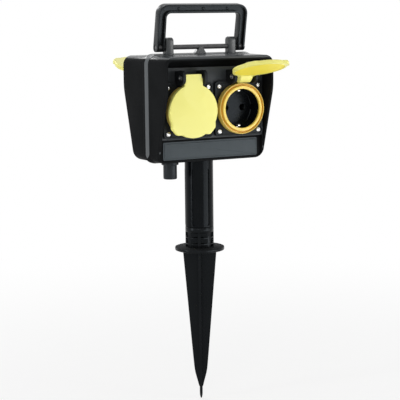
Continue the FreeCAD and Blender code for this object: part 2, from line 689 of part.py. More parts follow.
def socket_insert(x):
    """The contact carrier: the well, its floor with two pin holes, and the rear chambers."""
    body = rod_y(INSERT_RADIUS, -INSERT_FRONT, -INSERT_BACK, x, SOCKET_Z)
    lip = rod_y(INSERT_LIP_RADIUS, -FLANGE_BACK, -FLANGE_BACK + INSERT_LIP_THICKNESS, x, SOCKET_Z)
    cutters = [rod_y(WELL_RADIUS, -INSERT_FRONT - 1, -WELL_FLOOR, x, SOCKET_Z)]
    for px in pin_places(x):
        cutters.append(rod_y(PIN_HOLE_RADIUS, -WELL_FLOOR - 1, -INSERT_BACK + 1, px, SOCKET_Z))
        chamber = -WELL_FLOOR + SLEEVE_SETBACK
        cutters.append(rod_y(SLEEVE_RADIUS + RUNNING, chamber, -INSERT_BACK + 1, px, SOCKET_Z))
    for side in (-1, 1):
        mid = SOCKET_Z + side * clip_radius()
        half = CLIP_THICKNESS / 2 + 0.3
        wide = CLIP_WIDTH / 2 + 0.3
        cutters.append(box(x - wide, x + wide, -WELL_FLOOR - 1, -INSERT_BACK + 1, mid - half, mid + half))
        groove = CLIP_REACH + 1.0
        outer = SOCKET_Z + side * (WELL_RADIUS + 0.9)
        low, high = sorted((SOCKET_Z + side * (WELL_RADIUS - 3), outer))
        cutters.append(box(x - wide, x + wide, -WELL_FLOOR - groove, -WELL_FLOOR, low, high))
    return body.fuse(lip).cut(cutters)


def clip_radius():
    return WELL_RADIUS - CLIP_THICKNESS / 2 - 0.4


def earth_clip(x):
    """One bent strip: two bowed tongues in the well and the bridge behind the carrier."""
    out = clip_radius()
    bridge = -INSERT_BACK + CLIP_THICKNESS / 2
    front = -WELL_FLOOR - CLIP_REACH
    half = [
        (front, out - 0.2),
        (front + CLIP_REACH * 0.3, out - CLIP_BOW),
        (front + CLIP_REACH * 0.62, out - CLIP_BOW * 0.75),
        (-WELL_FLOOR - 0.6, out),
        (bridge, out),
    ]
    route = half + [(y, -z) for y, z in reversed(half)]
    points = [Vector(x - CLIP_WIDTH / 2, y, SOCKET_Z + z) for y, z in route]
    path = Part.makePolygon(points)
    outline = path.makeOffset2D(CLIP_THICKNESS / 2, 2, False, False)
    return Part.Face(outline).extrude(Vector(CLIP_WIDTH, 0, 0))


def contacts(x):
    """Two slit sleeves, each with its terminal behind the carrier."""
    pieces = []
    front = -WELL_FLOOR + SLEEVE_SETBACK
    back = -INSERT_BACK
    for px in pin_places(x):
        sleeve = rod_y(SLEEVE_RADIUS, front, back, px, SOCKET_Z)
        half = TERMINAL_SIDE / 2
        block = box(px - half, px + half, back, back + TERMINAL_LENGTH, SOCKET_Z - half, SOCKET_Z + half)
        bore = rod_y(SLEEVE_RADIUS - SLEEVE_WALL, front - 1, back - 1, px, SOCKET_Z)
        gap = SLEEVE_SLIT / 2
        slit = box(px - gap, px + gap, front - 1, front + SLEEVE_SLIT_LENGTH, SOCKET_Z - 5, SOCKET_Z + 5)
        pieces.append(sleeve.fuse(block).cut([bore, slit]))
    return pieces


def flange_screws(x):
    screws = []
    seat = -FLANGE_FRONT + COUNTERBORE_DEPTH
    for u, v in screw_corners(x):
        shank = rod_y(SCREW_RADIUS, seat, seat + SCREW_LENGTH - 2, u, v)
        head = rod_y(SCREW_HEAD_RADIUS, seat - SCREW_HEAD_HEIGHT, seat, u, v)
        brim = [e for e in head.Edges if abs(e.CenterOfMass.y - (seat - SCREW_HEAD_HEIGHT)) < 0.01]
        head = head.makeFillet(SCREW_HEAD_HEIGHT * 0.5, brim)
        screws.append(head.fuse(shank))
    return screws


# Lid in its closed place, then swung up for the two that stand open
def lid_outline(x):
    """The disc with its two lower ears and the neck, as one prism."""
    side = x + LID_EAR_X
    other = x - LID_EAR_X
    low = SOCKET_Z - LID_EAR_Z
    high = low + LID_EAR_CUT_Z
    top = SOCKET_Z - LID_EAR_X / 3
    ears = [
        (other + LID_EAR_CUT_X, low, LID_EAR_ROUND),
        (side - LID_EAR_CUT_X, low, LID_EAR_ROUND),
        (side, high, LID_EAR_ROUND),
        (side, top, 0.0),
        (other, top, 0.0),
        (other, high, LID_EAR_ROUND),
    ]
    neck_half = NECK_WIDTH / 2
    knuckle_half = KNUCKLE_WIDTH / 2
    shoulder = (neck_half - knuckle_half) / 2
    step = HINGE_Z - KNUCKLE_STEP
    root = SOCKET_Z + LID_RADIUS / 2
    neck = [
        (x - neck_half, root, 0.0),
        (x + neck_half, root, 0.0),
        (x + neck_half, step, 0.0),
        (x + knuckle_half, step + shoulder, 0.0),
        (x + knuckle_half, HINGE_Z + KNUCKLE_ABOVE_PIN, KNUCKLE_CORNER),
        (x - knuckle_half, HINGE_Z + KNUCKLE_ABOVE_PIN, KNUCKLE_CORNER),
        (x - knuckle_half, step + shoulder, 0.0),
        (x - neck_half, step, 0.0),
    ]
    disc = rod_y(LID_RADIUS, -LID_FRONT, -LID_BACK, x, SOCKET_Z)
    plates = [front_prism(outline, -LID_FRONT, -LID_BACK) for outline in (ears, neck)]
    return disc.fuse(plates).removeSplitter()


def knuckle(x):
    """The hinge barrel: chamfered at its ends, flush with the lid's face, cut level above the pin."""
    half = KNUCKLE_WIDTH / 2
    slim = KNUCKLE_RADIUS - KNUCKLE_CHAMFER
    outline = [
        (x - half, 0, 0),
        (x - half, slim, 0),
        (x - half + KNUCKLE_CHAMFER, KNUCKLE_RADIUS, 0),
        (x + half - KNUCKLE_CHAMFER, KNUCKLE_RADIUS, 0),
        (x + half, slim, 0),
        (x + half, 0, 0),
    ]
    barrel = revolved(outline, Vector(0, 0, 0), Vector(1, 0, 0))
    barrel.translate(Vector(0, -HINGE_Y, HINGE_Z))
    room = box(
        x - half,
        x + half,
        -LID_FRONT,
        -HINGE_Y + KNUCKLE_RADIUS,
        HINGE_Z - KNUCKLE_RADIUS,
        HINGE_Z + KNUCKLE_ABOVE_PIN,
    )
    return barrel.common(room)


def lid(x):
    cover = lid_outline(x)
    brim = [e for e in cover.Edges if abs(e.BoundBox.YMax + LID_FRONT) < 0.01]
    cover = cover.makeFillet(LID_BRIM, brim)
    skirt_room = -LID_FRONT + LID_PLATE
    cutters = [rod_y(LID_RADIUS - LID_SKIRT_WALL, skirt_room, -LID_BACK + 1, x, SOCKET_Z)]
    cutters.append(rod_x(HINGE_PIN_RADIUS + RUNNING, x - OVERRUN, x + OVERRUN, -HINGE_Y, HINGE_Z))
    spring_foot = x - NECK_WIDTH / 2 + SPRING_LENGTH + LOOSE
    cutters.append(rod_x(SPRING_RADIUS + RUNNING, x - NECK_WIDTH, spring_foot, -HINGE_Y, HINGE_Z))
    return cover.fuse(knuckle(x)).cut(cutters)


def lid_gasket(x):
    """The soft pad under the lid that closes on the collar's land."""
    radius = LID_RADIUS - LID_SKIRT_WALL - RUNNING
    face = -LID_FRONT + LID_PLATE
    return rod_y(radius, face, face + LID_GASKET_THICKNESS, x, SOCKET_Z)


def hinge_pin(x):
    reach = NECK_WIDTH / 2 + LOOSE + LUG_THICKNESS
    pin = rod_x(HINGE_PIN_RADIUS, x - reach, x + reach, -HINGE_Y, HINGE_Z)
    heads = [
        rod_x(HINGE_HEAD_RADIUS, x - reach - HINGE_HEAD_THICKNESS, x - reach, -HINGE_Y, HINGE_Z),
        rod_x(HINGE_HEAD_RADIUS, x + reach, x + reach + HINGE_HEAD_THICKNESS, -HINGE_Y, HINGE_Z),
    ]
    dimples = [
        rod_x(HINGE_DIMPLE_RADIUS, x - reach - 2, x - reach, -HINGE_Y, HINGE_Z),
        rod_x(HINGE_DIMPLE_RADIUS, x + reach, x + reach + 2, -HINGE_Y, HINGE_Z),
    ]
    return pin.fuse(heads).cut(dimples)


def spring_peg(x, radius):
    """The straight end of the spring's wire, which holds in the left lug."""
    start = x - NECK_WIDTH / 2
    height = HINGE_Z + SPRING_RADIUS - SPRING_WIRE / 2
    return rod_x(radius, start - LOOSE - SPRING_PEG, start + 1, -HINGE_Y, height)


def lid_spring(x):
    """The torsion spring's coil body round the pin, in the knuckle's bore."""
    start = x - NECK_WIDTH / 2
    coil = rod_x(SPRING_RADIUS, start, start + SPRING_LENGTH, -HINGE_Y, HINGE_Z)
    coil = coil.cut(rod_x(HINGE_PIN_RADIUS + RUNNING, start, x, -HINGE_Y, HINGE_Z))
    return coil.fuse(spring_peg(x, SPRING_PEG_RADIUS))


def swung_open(shape):
    copy = shape.copy()
    copy.rotate(Vector(0, -HINGE_Y, HINGE_Z), Vector(1, 0, 0), -OPEN_ANGLE)
    return copy


# Carrying handle and its axle
def handle():
    """A channelled bow, its front and rear faces grooved and its legs rounded at the pivot."""
    half = HANDLE_WIDTH / 2
    top = PIVOT_Z + HANDLE_REACH
    foot = PIVOT_Z - HANDLE_DEPTH / 2
    y0 = PIVOT_BACK - HANDLE_DEPTH / 2
    y1 = PIVOT_BACK + HANDLE_DEPTH / 2

    def bow(inset, low):
        outer = [
            (-half + inset, low, 0.0),
            (half - inset, low, 0.0),
            (half - inset, top - inset, HANDLE_CORNER - inset),
            (-half + inset, top - inset, HANDLE_CORNER - inset),
        ]
        bar = HANDLE_BAR - inset
        inner = [
            (-half + bar, low - 10, 0.0),
            (half - bar, low - 10, 0.0),
            (half - bar, top - bar, HANDLE_CORNER - bar * 0.6),
            (-half + bar, top - bar, HANDLE_CORNER - bar * 0.6),
        ]
        return front_prism(outer, y0, y1).cut(front_prism(inner, y0 - 1, y1 + 1))

    side = [
        (y0, foot, HANDLE_DEPTH * 0.48),
        (y1, foot, HANDLE_DEPTH * 0.48),
        (y1, top + 1, 0.0),
        (y0, top + 1, 0.0),
    ]
    body = bow(0.0, foot - 1).common(side_prism(side, -half - 1, half + 1))
    edges = []
    for edge in body.Edges:
        spread = edge.BoundBox
        if spread.YLength < 0.01 and spread.ZMax > PIVOT_Z + HANDLE_DEPTH:
            edges.append(edge)
    body = body.makeFillet(HANDLE_EDGE, edges)
    groove = bow(HANDLE_GROOVE_WALL, PIVOT_Z - AXLE_RADIUS - 1.2)
    front_groove = groove.common(box(-half, half, y0 - 1, y0 + HANDLE_GROOVE_DEPTH, foot, top))
    rear_groove = groove.common(box(-half, half, y1 - HANDLE_GROOVE_DEPTH, y1 + 1, foot, top))
    hole = rod_x(AXLE_RADIUS + RUNNING, -half - 1, half + 1, PIVOT_BACK, PIVOT_Z)
    body = body.cut([front_groove, rear_groove, hole])
    pip_z = top - HANDLE_BAR / 2
    floor = y0 + HANDLE_GROOVE_DEPTH
    pips = [rod_y(PIP_RADIUS, floor - PIP_HEIGHT, floor + 1, k * PIP_SPACING, pip_z) for k in (-1, 0, 1)]
    body = body.fuse(pips)
    body.rotate(Vector(0, PIVOT_BACK, PIVOT_Z), Vector(1, 0, 0), HANDLE_TILT)
    return body


def handle_axle():
    reach = HANDLE_WIDTH / 2 - AXLE_SETBACK
    return rod_x(AXLE_RADIUS, -reach, reach, PIVOT_BACK, PIVOT_Z)


# Cable inlet and inner fittings
def cable_sleeve():
    low = BOX_FOOT - INLET_LENGTH
    head_top = CAVITY_FOOT + INLET_HEAD_THICKNESS
    shoulder_top = BOX_FOOT - BEAD_PROUD
    tube = rod_z(INLET_RADIUS, low, head_top, INLET_X)
    brim = [e for e in tube.Edges if abs(e.CenterOfMass.z - low) < 0.01 and e.BoundBox.ZLength < 0.01]
    tube = tube.makeFillet(INLET_EDGE, brim)
    head = rod_z(INLET_HEAD_RADIUS, CAVITY_FOOT, head_top, INLET_X)
    shoulder = rod_z(INLET_RADIUS + INLET_SHOULDER, shoulder_top - INLET_SHOULDER, shoulder_top, INLET_X)
    return tube.fuse([head, shoulder]).cut(rod_z(INLET_BORE, low - 1, head_top + 1, INLET_X))


def grip_z():
    return CAVITY_FOOT + GRIP_HEIGHT


def grip_places():
    return [INLET_X - GRIP_POST_SPACING / 2, INLET_X + GRIP_POST_SPACING / 2]


def cord_grip():
    half = GRIP_POST_SPACING / 2 + GRIP_POST_RADIUS
    low = grip_z() - GRIP_BAR_HEIGHT / 2
    high = grip_z() + GRIP_BAR_HEIGHT / 2
    bar = box(INLET_X - half, INLET_X + half, -INLET_BORE - GRIP_BAR, -INLET_BORE, low, high)
    holes = [rod_y(GRIP_SCREW_RADIUS + RUNNING, -CAVITY_DEPTH, 0, x, grip_z()) for x in grip_places()]
    return bar.cut(holes)


def grip_screws():
    screws = []
    for x in grip_places():
        foot = -INLET_BORE - GRIP_BAR - GRIP_SCREW_LENGTH
        shank = rod_y(GRIP_SCREW_RADIUS, foot, -INLET_BORE, x, grip_z())
        head = rod_y(SCREW_HEAD_RADIUS, -INLET_BORE, -INLET_BORE + SCREW_HEAD_HEIGHT, x, grip_z())
        screws.append(shank.fuse(head))
    return screws


def terminal_block():
    foot = grip_z() - BLOCK_HEIGHT / 2
    front = -CAVITY_DEPTH + BLOCK_DEPTH
    block = box(BLOCK_X, BLOCK_X + BLOCK_WIDTH, -CAVITY_DEPTH, front, foot, foot + BLOCK_HEIGHT)
    holes = []
    for k in range(TERMINAL_POLES):
        x = BLOCK_X + BLOCK_WIDTH * (k + 0.5) / TERMINAL_POLES
        y = front - BLOCK_DEPTH / 2
        holes.append(rod_z(TERMINAL_HOLE_RADIUS, foot - 1, foot + BLOCK_HEIGHT + 1, x, y))
    return block.cut(holes)


def label_plate():
    foot = BOX_FOOT + LIP_HEIGHT + LABEL_RISE
    outline = rectangle(LABEL_WIDTH / 2, foot, foot + LABEL_HEIGHT, LABEL_RADIUS)
    return front_prism(outline, -FLOOR_DEPTH - LABEL_THICKNESS, -FLOOR_DEPTH)


def main():
    os.makedirs("parts", exist_ok=True)
    save("ground_spike", ground_spike())
    save("column", column())
    save("front_shell", front_shell())
    save("rear_shell", rear_shell())
    save("housing_seal", housing_seal())
    save("housing_screws", housing_screws())
    save("handle", handle())
    save("handle_axle", handle_axle())
    save("cable_sleeve", cable_sleeve())
    save("cord_grip", cord_grip())
    save("cord_grip_screws", grip_screws())
    save("terminal_block", terminal_block())
    save("label_plate", label_plate())
    left, right = socket_places()
    screws = []
    for name, x, rear, is_open in (
        ("front_left", left, False, False),
        ("front_right", right, False, True),
        ("rear_left", left, True, False),
        ("rear_right", right, True, True),
    ):
        placed = turned_back if rear else (lambda shape: shape)
        swung = swung_open if is_open else (lambda shape: shape)
        save("flange_" + name, placed(socket_flange(x)))
        save("flange_gasket_" + name, placed(flange_gasket(x)))
        save("collar_" + name, placed(socket_collar(x)))
        save("insert_" + name, placed(socket_insert(x)))
        save("earth_clip_" + name, placed(earth_clip(x)))
        save("contacts_" + name, [placed(piece) for piece in contacts(x)])
        save("lid_" + name, placed(swung(lid(x))))
        save("lid_gasket_" + name, placed(swung(lid_gasket(x))))
        save("hinge_pin_" + name, placed(hinge_pin(x)))
        save("lid_spring_" + name, placed(lid_spring(x)))
        screws += [placed(screw) for screw in flange_screws(x)]
    save("flange_screws", screws)


main()
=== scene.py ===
from math import cos, pi, radians, sin, tan

import bmesh
import bpy
from mathutils import Matrix, Quaternion, Vector


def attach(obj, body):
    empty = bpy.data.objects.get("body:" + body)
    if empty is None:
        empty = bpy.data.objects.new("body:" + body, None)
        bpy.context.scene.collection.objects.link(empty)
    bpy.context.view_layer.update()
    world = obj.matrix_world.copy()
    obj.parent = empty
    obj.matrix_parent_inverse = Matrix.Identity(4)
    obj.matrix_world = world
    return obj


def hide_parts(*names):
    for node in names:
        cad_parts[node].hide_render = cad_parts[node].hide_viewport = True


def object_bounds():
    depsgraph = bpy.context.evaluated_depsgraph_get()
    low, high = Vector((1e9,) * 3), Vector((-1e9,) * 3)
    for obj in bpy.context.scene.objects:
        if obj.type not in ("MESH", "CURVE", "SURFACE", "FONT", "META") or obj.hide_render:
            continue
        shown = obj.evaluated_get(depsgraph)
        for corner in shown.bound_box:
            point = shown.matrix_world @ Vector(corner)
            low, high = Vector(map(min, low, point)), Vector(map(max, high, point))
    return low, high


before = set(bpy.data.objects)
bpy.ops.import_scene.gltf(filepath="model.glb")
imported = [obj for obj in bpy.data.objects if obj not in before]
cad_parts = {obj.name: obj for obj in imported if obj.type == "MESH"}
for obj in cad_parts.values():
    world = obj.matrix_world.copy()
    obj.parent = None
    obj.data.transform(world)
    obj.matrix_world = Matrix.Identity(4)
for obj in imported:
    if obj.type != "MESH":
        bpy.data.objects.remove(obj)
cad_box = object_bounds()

# ---------------------------------------------------------------------------
# The photographer's place: a long lens a little above the box, turned to the
# left of the front face so that one side of the housing shows.
# ---------------------------------------------------------------------------
mm = 0.001
TURN = radians(-28.74)
RISE = radians(8.02)
ROLL = radians(-0.62)
DISTANCE = 1.303
AIM_ASIDE = 0.82
AIM_Z = 50.37
FILM_WIDTH = 36.0
FOCAL_PIXELS = 1294.9
PICTURE_PIXELS = 400

aim = Vector((AIM_ASIDE * cos(TURN), AIM_ASIDE * sin(TURN), AIM_Z)) * mm
outwards = Vector((sin(TURN) * cos(RISE), -cos(TURN) * cos(RISE), sin(RISE)))
lens = bpy.data.cameras.new("long_lens")
lens.sensor_width = FILM_WIDTH
lens.lens = FOCAL_PIXELS / PICTURE_PIXELS * FILM_WIDTH
lens.clip_start = 0.01
camera = bpy.data.objects.new("photographer", lens)
camera.location = aim + outwards * DISTANCE
camera.rotation_mode = "QUATERNION"
camera.rotation_quaternion = outwards.to_track_quat("Z", "Y") @ Quaternion((0, 0, 1), ROLL)
bpy.context.collection.objects.link(camera)
bpy.context.scene.camera = camera
bpy.context.scene.view_settings.view_transform = "Standard"


# ---------------------------------------------------------------------------
# Studio: a white sweep for the camera and for what mirrors it, and six soft
# lamps: a key and a fill in front, a strip at the left, two behind, one low down.
# ---------------------------------------------------------------------------
class Tone:
    """A shader socket that can stand in a sum; the operators add Math nodes."""

    def __init__(self, tree, socket=None):
        self.tree = tree
        self.socket = socket

    def node(self, kind, settings, sockets, out=0):
        """Adds one node: its settings first, then the values or links of its sockets."""
        made = self.tree.nodes.new(kind)
        for name, value in settings.items():
            setattr(made, name, value)
        for name, value in sockets.items():
            if isinstance(value, Tone):
                self.tree.links.new(value.socket, made.inputs[name])
            else:
                made.inputs[name].default_value = value
        return Tone(self.tree, made.outputs[out])

    def sum(self, operation, first, second):
        return self.node("ShaderNodeMath", {"operation": operation}, {0: first, 1: second})

    def __add__(self, other):
        return self.sum("ADD", self, other)

    def __radd__(self, other):
        return self.sum("ADD", other, self)

    def __sub__(self, other):
        return self.sum("SUBTRACT", self, other)

    def __rsub__(self, other):
        return self.sum("SUBTRACT", other, self)

    def __mul__(self, other):
        return self.sum("MULTIPLY", self, other)

    def __rmul__(self, other):
        return self.sum("MULTIPLY", other, self)

    def size(self):
        """The value without its sign."""
        return self.node("ShaderNodeMath", {"operation": "ABSOLUTE"}, {0: self})

    def root(self):
        """The square root of the value."""
        return self.node("ShaderNodeMath", {"operation": "SQRT"}, {0: self})

    def part(self, index):
        """The x, y or z of a place."""
        return self.node("ShaderNodeSeparateXYZ", {}, {"Vector": self}, out=index)

    def above(self, edge, softness):
        """0 below edge and 1 above it, with a soft step between."""
        return self.node(
            "ShaderNodeMapRange",
            {"interpolation_type": "SMOOTHSTEP"},
            {"Value": self, "From Min": edge - softness, "From Max": edge + softness},
        )

    def blend(self, first, second):
        """Two colours mixed by this tone."""
        return self.node("ShaderNodeMix", {"data_type": "RGBA"}, {0: self, 6: first, 7: second}, out=2)


def seen_directly(tree):
    """1 for the camera and for what mirrors or refracts the backdrop."""
    path = tree.nodes.new("ShaderNodeLightPath")
    camera_ray = Tone(tree, path.outputs["Is Camera Ray"])
    glossy_ray = Tone(tree, path.outputs["Is Glossy Ray"])
    clear_ray = Tone(tree, path.outputs["Is Transmission Ray"])
    return (camera_ray + glossy_ray + clear_ray).above(0.5, 0.1)


AMBIENT = 0.42
WHITE = (1.0, 1.0, 1.0, 1.0)

world = bpy.data.worlds.new("white_sweep")
world.use_nodes = True
sky = world.node_tree
sky.nodes.clear()
seen = seen_directly(sky)
strength = AMBIENT + (1.0 - AMBIENT) * seen
background = seen.node("ShaderNodeBackground", {}, {"Color": WHITE, "Strength": strength})
sky_output = sky.nodes.new("ShaderNodeOutputWorld")
sky.links.new(background.socket, sky_output.inputs["Surface"])
bpy.context.scene.world = world


def softbox(name, place, at, size, power):
    """A rectangular soft lamp at a place, turned to what it lights."""
    lamp = bpy.data.lights.new(name, "AREA")
    lamp.shape = "RECTANGLE"
    lamp.size, lamp.size_y = size
    lamp.energy = power
    held = bpy.data.objects.new(name, lamp)
    held.location = place
    held.rotation_mode = "QUATERNION"
    held.rotation_quaternion = (Vector(place) - Vector(at)).to_track_quat("Z", "Y")
    bpy.context.collection.objects.link(held)


softbox("key_right", (1.0, -1.3, 0.42), (0, 0, 0.12), (0.5, 0.6), 4.2)
softbox("strip_left", (-1.5, 0.05, 0.25), (0, 0, 0.13), (0.26, 1.1), 8.0)
softbox("fill_left", (-1.1, -1.3, 0.7), (0, 0, 0.12), (0.5, 0.5), 2.6)
softbox("top_rear", (0.1, 0.7, 1.4), (0, 0, 0.15), (1.0, 0.4), 7.0)
softbox("rim_rear", (-0.25, 1.5, 0.95), (0, 0, 0.17), (0.5, 0.3), 4.0)
softbox("table_bounce", (0.32, -0.5, -0.13), (0.05, -0.08, 0.19), (0.6, 0.4), 3.0)

paper = bpy.data.materials.new("floor_paper")
paper.use_nodes = True
paper_tree = paper.node_tree
paper_tree.nodes.clear()
seen = seen_directly(paper_tree)
where = seen.node("ShaderNodeTexCoord", {}, {}, out=3)
fleck = seen.node("ShaderNodeTexNoise", {}, {"Vector": where, "Scale": 60.0, "Detail": 3.0})
shade = fleck.blend((0.80, 0.80, 0.80, 1.0), (0.84, 0.84, 0.84, 1.0))
matte = seen.node("ShaderNodeBsdfDiffuse", {}, {"Color": shade})
glow = seen.node("ShaderNodeEmission", {}, {"Color": WHITE, "Strength": 1.0})
off_centre = seen.node("ShaderNodeVectorMath", {"operation": "LENGTH"}, {0: where}, out=1)
whiteness = 0.72 + 0.28 * off_centre.above(0.5, 0.35)
lit = seen.node("ShaderNodeMixShader", {}, {0: seen * whiteness, 1: matte, 2: glow})
paper_output = paper_tree.nodes.new("ShaderNodeOutputMaterial")
paper_tree.links.new(lit.socket, paper_output.inputs["Surface"])

sweep = bmesh.new()
bmesh.ops.create_grid(sweep, x_segments=1, y_segments=1, size=6.0)
bmesh.ops.translate(sweep, verts=sweep.verts, vec=(0, 0, cad_box[0][2]))
floor_mesh = bpy.data.meshes.new("studio_floor")
sweep.to_mesh(floor_mesh)
sweep.free()
floor_mesh.materials.append(paper)
studio_floor = bpy.data.objects.new("studio_floor", floor_mesh)
bpy.context.collection.objects.link(studio_floor)


# ---------------------------------------------------------------------------
# Ground spike: one black moulding of crossed fins that taper to a needle, a
# stop disc, and a collar of saw teeth that the column's plug sits in.
# ---------------------------------------------------------------------------
def turned(profile, steps=96, axis=(0, 0, 1)):
    """A lathe-turned form: (radius, height) points spun round Z, closed at the poles."""
    bm = bmesh.new()
    points = [bm.verts.new((radius * mm, 0, height * mm)) for radius, height in profile]
    edges = [bm.edges.new(pair) for pair in zip(points, points[1:])]
    bmesh.ops.spin(
        bm, geom=points + edges, cent=(0, 0, 0), axis=(0, 0, 1), angle=2 * pi, steps=steps, use_merge=True
    )
    bmesh.ops.remove_doubles(bm, verts=bm.verts, dist=1e-6)
    if tuple(axis) != (0, 0, 1):
        lay = Vector((0, 0, 1)).rotation_difference(Vector(axis)).to_matrix()
        bmesh.ops.transform(bm, matrix=lay.to_4x4(), verts=bm.verts)
    bmesh.ops.recalc_face_normals(bm, faces=bm.faces)
    return bm


def slab(corners, low, high, radius=0.0, plane="XZ", segments=6):
    """An outline of (u, v) corners, rounded, and pushed through from low to high."""
    bm = bmesh.new()
    lay = {
        "XZ": lambda u, v: (u * mm, low * mm, v * mm),
        "YZ": lambda u, v: (low * mm, u * mm, v * mm),
        "XY": lambda u, v: (u * mm, v * mm, low * mm),
    }[plane]
    way = {"XZ": (0, 1, 0), "YZ": (1, 0, 0), "XY": (0, 0, 1)}[plane]
    face = bm.faces.new([bm.verts.new(lay(u, v)) for u, v in corners])
    radii = radius if isinstance(radius, (list, tuple)) else [radius] * len(corners)
    for corner, r in zip(list(face.verts), radii):
        if r > 0:
            spokes = [(e.other_vert(corner).co - corner.co) for e in corner.link_edges]
            reach = r * mm / tan(spokes[0].angle(spokes[1]) / 2)
            bmesh.ops.bevel(
                bm, geom=[corner], offset=reach, segments=segments, profile=0.5, affect="VERTICES", material=-1
            )
    pushed = bmesh.ops.extrude_face_region(bm, geom=list(bm.faces))
    moved = [part for part in pushed["geom"] if isinstance(part, bmesh.types.BMVert)]
    bmesh.ops.translate(bm, verts=moved, vec=Vector(way) * (high - low) * mm)
    bmesh.ops.recalc_face_normals(bm, faces=bm.faces)
    return bm


def placed(bm, move=(0, 0, 0), turn=0.0, axis="Z", about=(0, 0, 0)):
    """The form turned by degrees about a point, then moved, all in millimetres."""
    centre = Vector(about) * mm
    bmesh.ops.rotate(bm, verts=bm.verts, cent=centre, matrix=Matrix.Rotation(radians(turn), 3, axis))
    bmesh.ops.translate(bm, verts=bm.verts, vec=Vector(move) * mm)
    return bm


def gathered(*forms):
    """Several forms as one, each still its own closed skin."""
    whole = bmesh.new()
    for form in forms:
        scrap = bpy.data.meshes.new("scrap")
        form.to_mesh(scrap)
        form.free()
        whole.from_mesh(scrap)
        bpy.data.meshes.remove(scrap)
    return whole


def worked(bm, tool, operation):
    """The form with a tool taken from it (DIFFERENCE), joined to it (UNION) or as its limit (INTERSECT)."""
    rough = bpy.data.meshes.new("rough")
    bm.to_mesh(rough)
    bm.free()
    knife = bpy.data.meshes.new("knife")
    tool.to_mesh(knife)
    tool.free()
    rough_object = bpy.data.objects.new("rough", rough)
    knife_object = bpy.data.objects.new("knife", knife)
    bpy.context.collection.objects.link(rough_object)
    bpy.context.collection.objects.link(knife_object)
    step = rough_object.modifiers.new("work", "BOOLEAN")
    step.operation = operation
    step.solver = "EXACT"
    step.use_self = True
    step.object = knife_object
    done = bmesh.new()
    bpy.context.view_layer.update()
    done.from_object(rough_object, bpy.context.evaluated_depsgraph_get())
    for scrap in (rough_object, knife_object):
        mesh = scrap.data
        bpy.data.objects.remove(scrap)
        bpy.data.meshes.remove(mesh)
    return done


def finished(name, bm, material, slot, body, *nodes, edge=0.0, sharp=35.0, segments=3):
    """A form made a piece: edges softened, shaded, on its body, in its nodes' place."""
    mesh = bpy.data.meshes.new(name)
    bm.to_mesh(mesh)
    bm.free()
    mesh.materials.clear()
    mesh.materials.append(material)
    mesh.shade_smooth()
    piece = bpy.data.objects.new(name, mesh)
    bpy.context.collection.objects.link(piece)
    if edge > 0:
        soften = piece.modifiers.new("soft_edges", "BEVEL")
        soften.width = edge * mm
        soften.segments = segments
        soften.limit_method = "ANGLE"
        soften.angle_limit = radians(sharp)
        soften.harden_normals = True
    else:
        mesh.set_sharp_from_angle(angle=radians(sharp))
    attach(piece, body)
    if nodes:
        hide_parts(*nodes)
    return piece


# The paler grey painted on the housing as highlight.
HIGHLIGHT_GREY = (0.098, 0.109, 0.117, 1.0)
COLD_SHEEN = (0.8, 0.91, 1.0, 1.0)


def black_moulding(name, dark, light, grain, roughness, gloss=0.22, coat_and_highlight=None, scoured=None):
    """Black plastic from an eroded mould: fine grain, faint clouding, scuffs, and, where given, a painted highlight of
    paler grey under an extra coat.
    """
    material = bpy.data.materials.new(name)
    material.use_nodes = True
    tree = material.node_tree
    shader = tree.nodes["Principled BSDF"]
    start = Tone(tree)
    place = start.node("ShaderNodeTexCoord", {}, {}, out=3)
    cloud = start.node("ShaderNodeTexNoise", {}, {"Vector": place, "Scale": 22.0, "Detail": 3.0, "Roughness": 0.55})
    scuff = start.node("ShaderNodeTexNoise", {}, {"Vector": place, "Scale": 190.0, "Detail": 5.0, "Roughness": 0.7})
    pits = start.node("ShaderNodeTexNoise", {}, {"Vector": place, "Scale": grain, "Detail": 2.0, "Roughness": 0.6})
    worn = scuff.above(0.66, 0.08)
    tint = (cloud.above(0.5, 0.28) + worn * 0.6).blend((*dark, 1.0), (*light, 1.0))
    # Where given, the base colour is painted paler grey as a highlight, and an extra coat is laid over those places.
    if coat_and_highlight:
        shine, pale = coat_and_highlight(place)
        tint = pale.blend(tint, HIGHLIGHT_GREY)
        tree.links.new(shine.socket, shader.inputs["Coat Weight"])
        shader.inputs["Coat Roughness"].default_value = 0.22
    rough = roughness + 0.12 * cloud - 0.06 + 0.1 * worn
    if scoured:
        rough = rough + scoured(place)
    height = pits + 0.25 * scuff
    bump = start.node("ShaderNodeBump", {}, {"Strength": 0.28, "Distance": 0.00012, "Height": height})
    tree.links.new(tint.socket, shader.inputs["Base Color"])
    tree.links.new(rough.socket, shader.inputs["Roughness"])
    tree.links.new(bump.socket, shader.inputs["Normal"])
    shader.inputs["Specular IOR Level"].default_value = gloss
    shader.inputs["Specular Tint"].default_value = COLD_SHEEN
    return material


SPIKE_TURN = -30.0
DISC_RADIUS = 24.9
DISC_THICKNESS = 3.5
FIN_HALF = 1.5
FIN_LENGTH = 123.5
NOSE_LENGTH = 18.5
FIN_STOPS = [
    (0, 17.0), (105.0, 8.2), (118.0, 7.05), (FIN_LENGTH, 6.45), (127.5, 5.75), (131.3, 4.8), (136.0, 3.5),
    (FIN_LENGTH + NOSE_LENGTH, 2.0),
]
FIN_CUTS = (20.0, 50.0, 80.0, 105.0, 118.0, FIN_LENGTH, 127.5, 131.3, 136.0)
COLLAR_TOP = 24.0
CORE_HALF = 11.2
CORE_CORNER = 14.1
TOOTH_ROOT = 10.6
TOOTH_HEIGHTS = (7.1, 13.3)
RIB_REACH = 14.2
COLUMN_RADIUS = 14.3
PLUG_RADIUS = 10.4


def disc_top(place):
    """The top of the stop disc, scoured matt by soil."""
    high, level = place.part(2), DISC_THICKNESS * mm
    return 0.5 * high.above(level - 0.0003, 0.0001) * (1.0 - high.above(level + 0.0003, 0.0001))


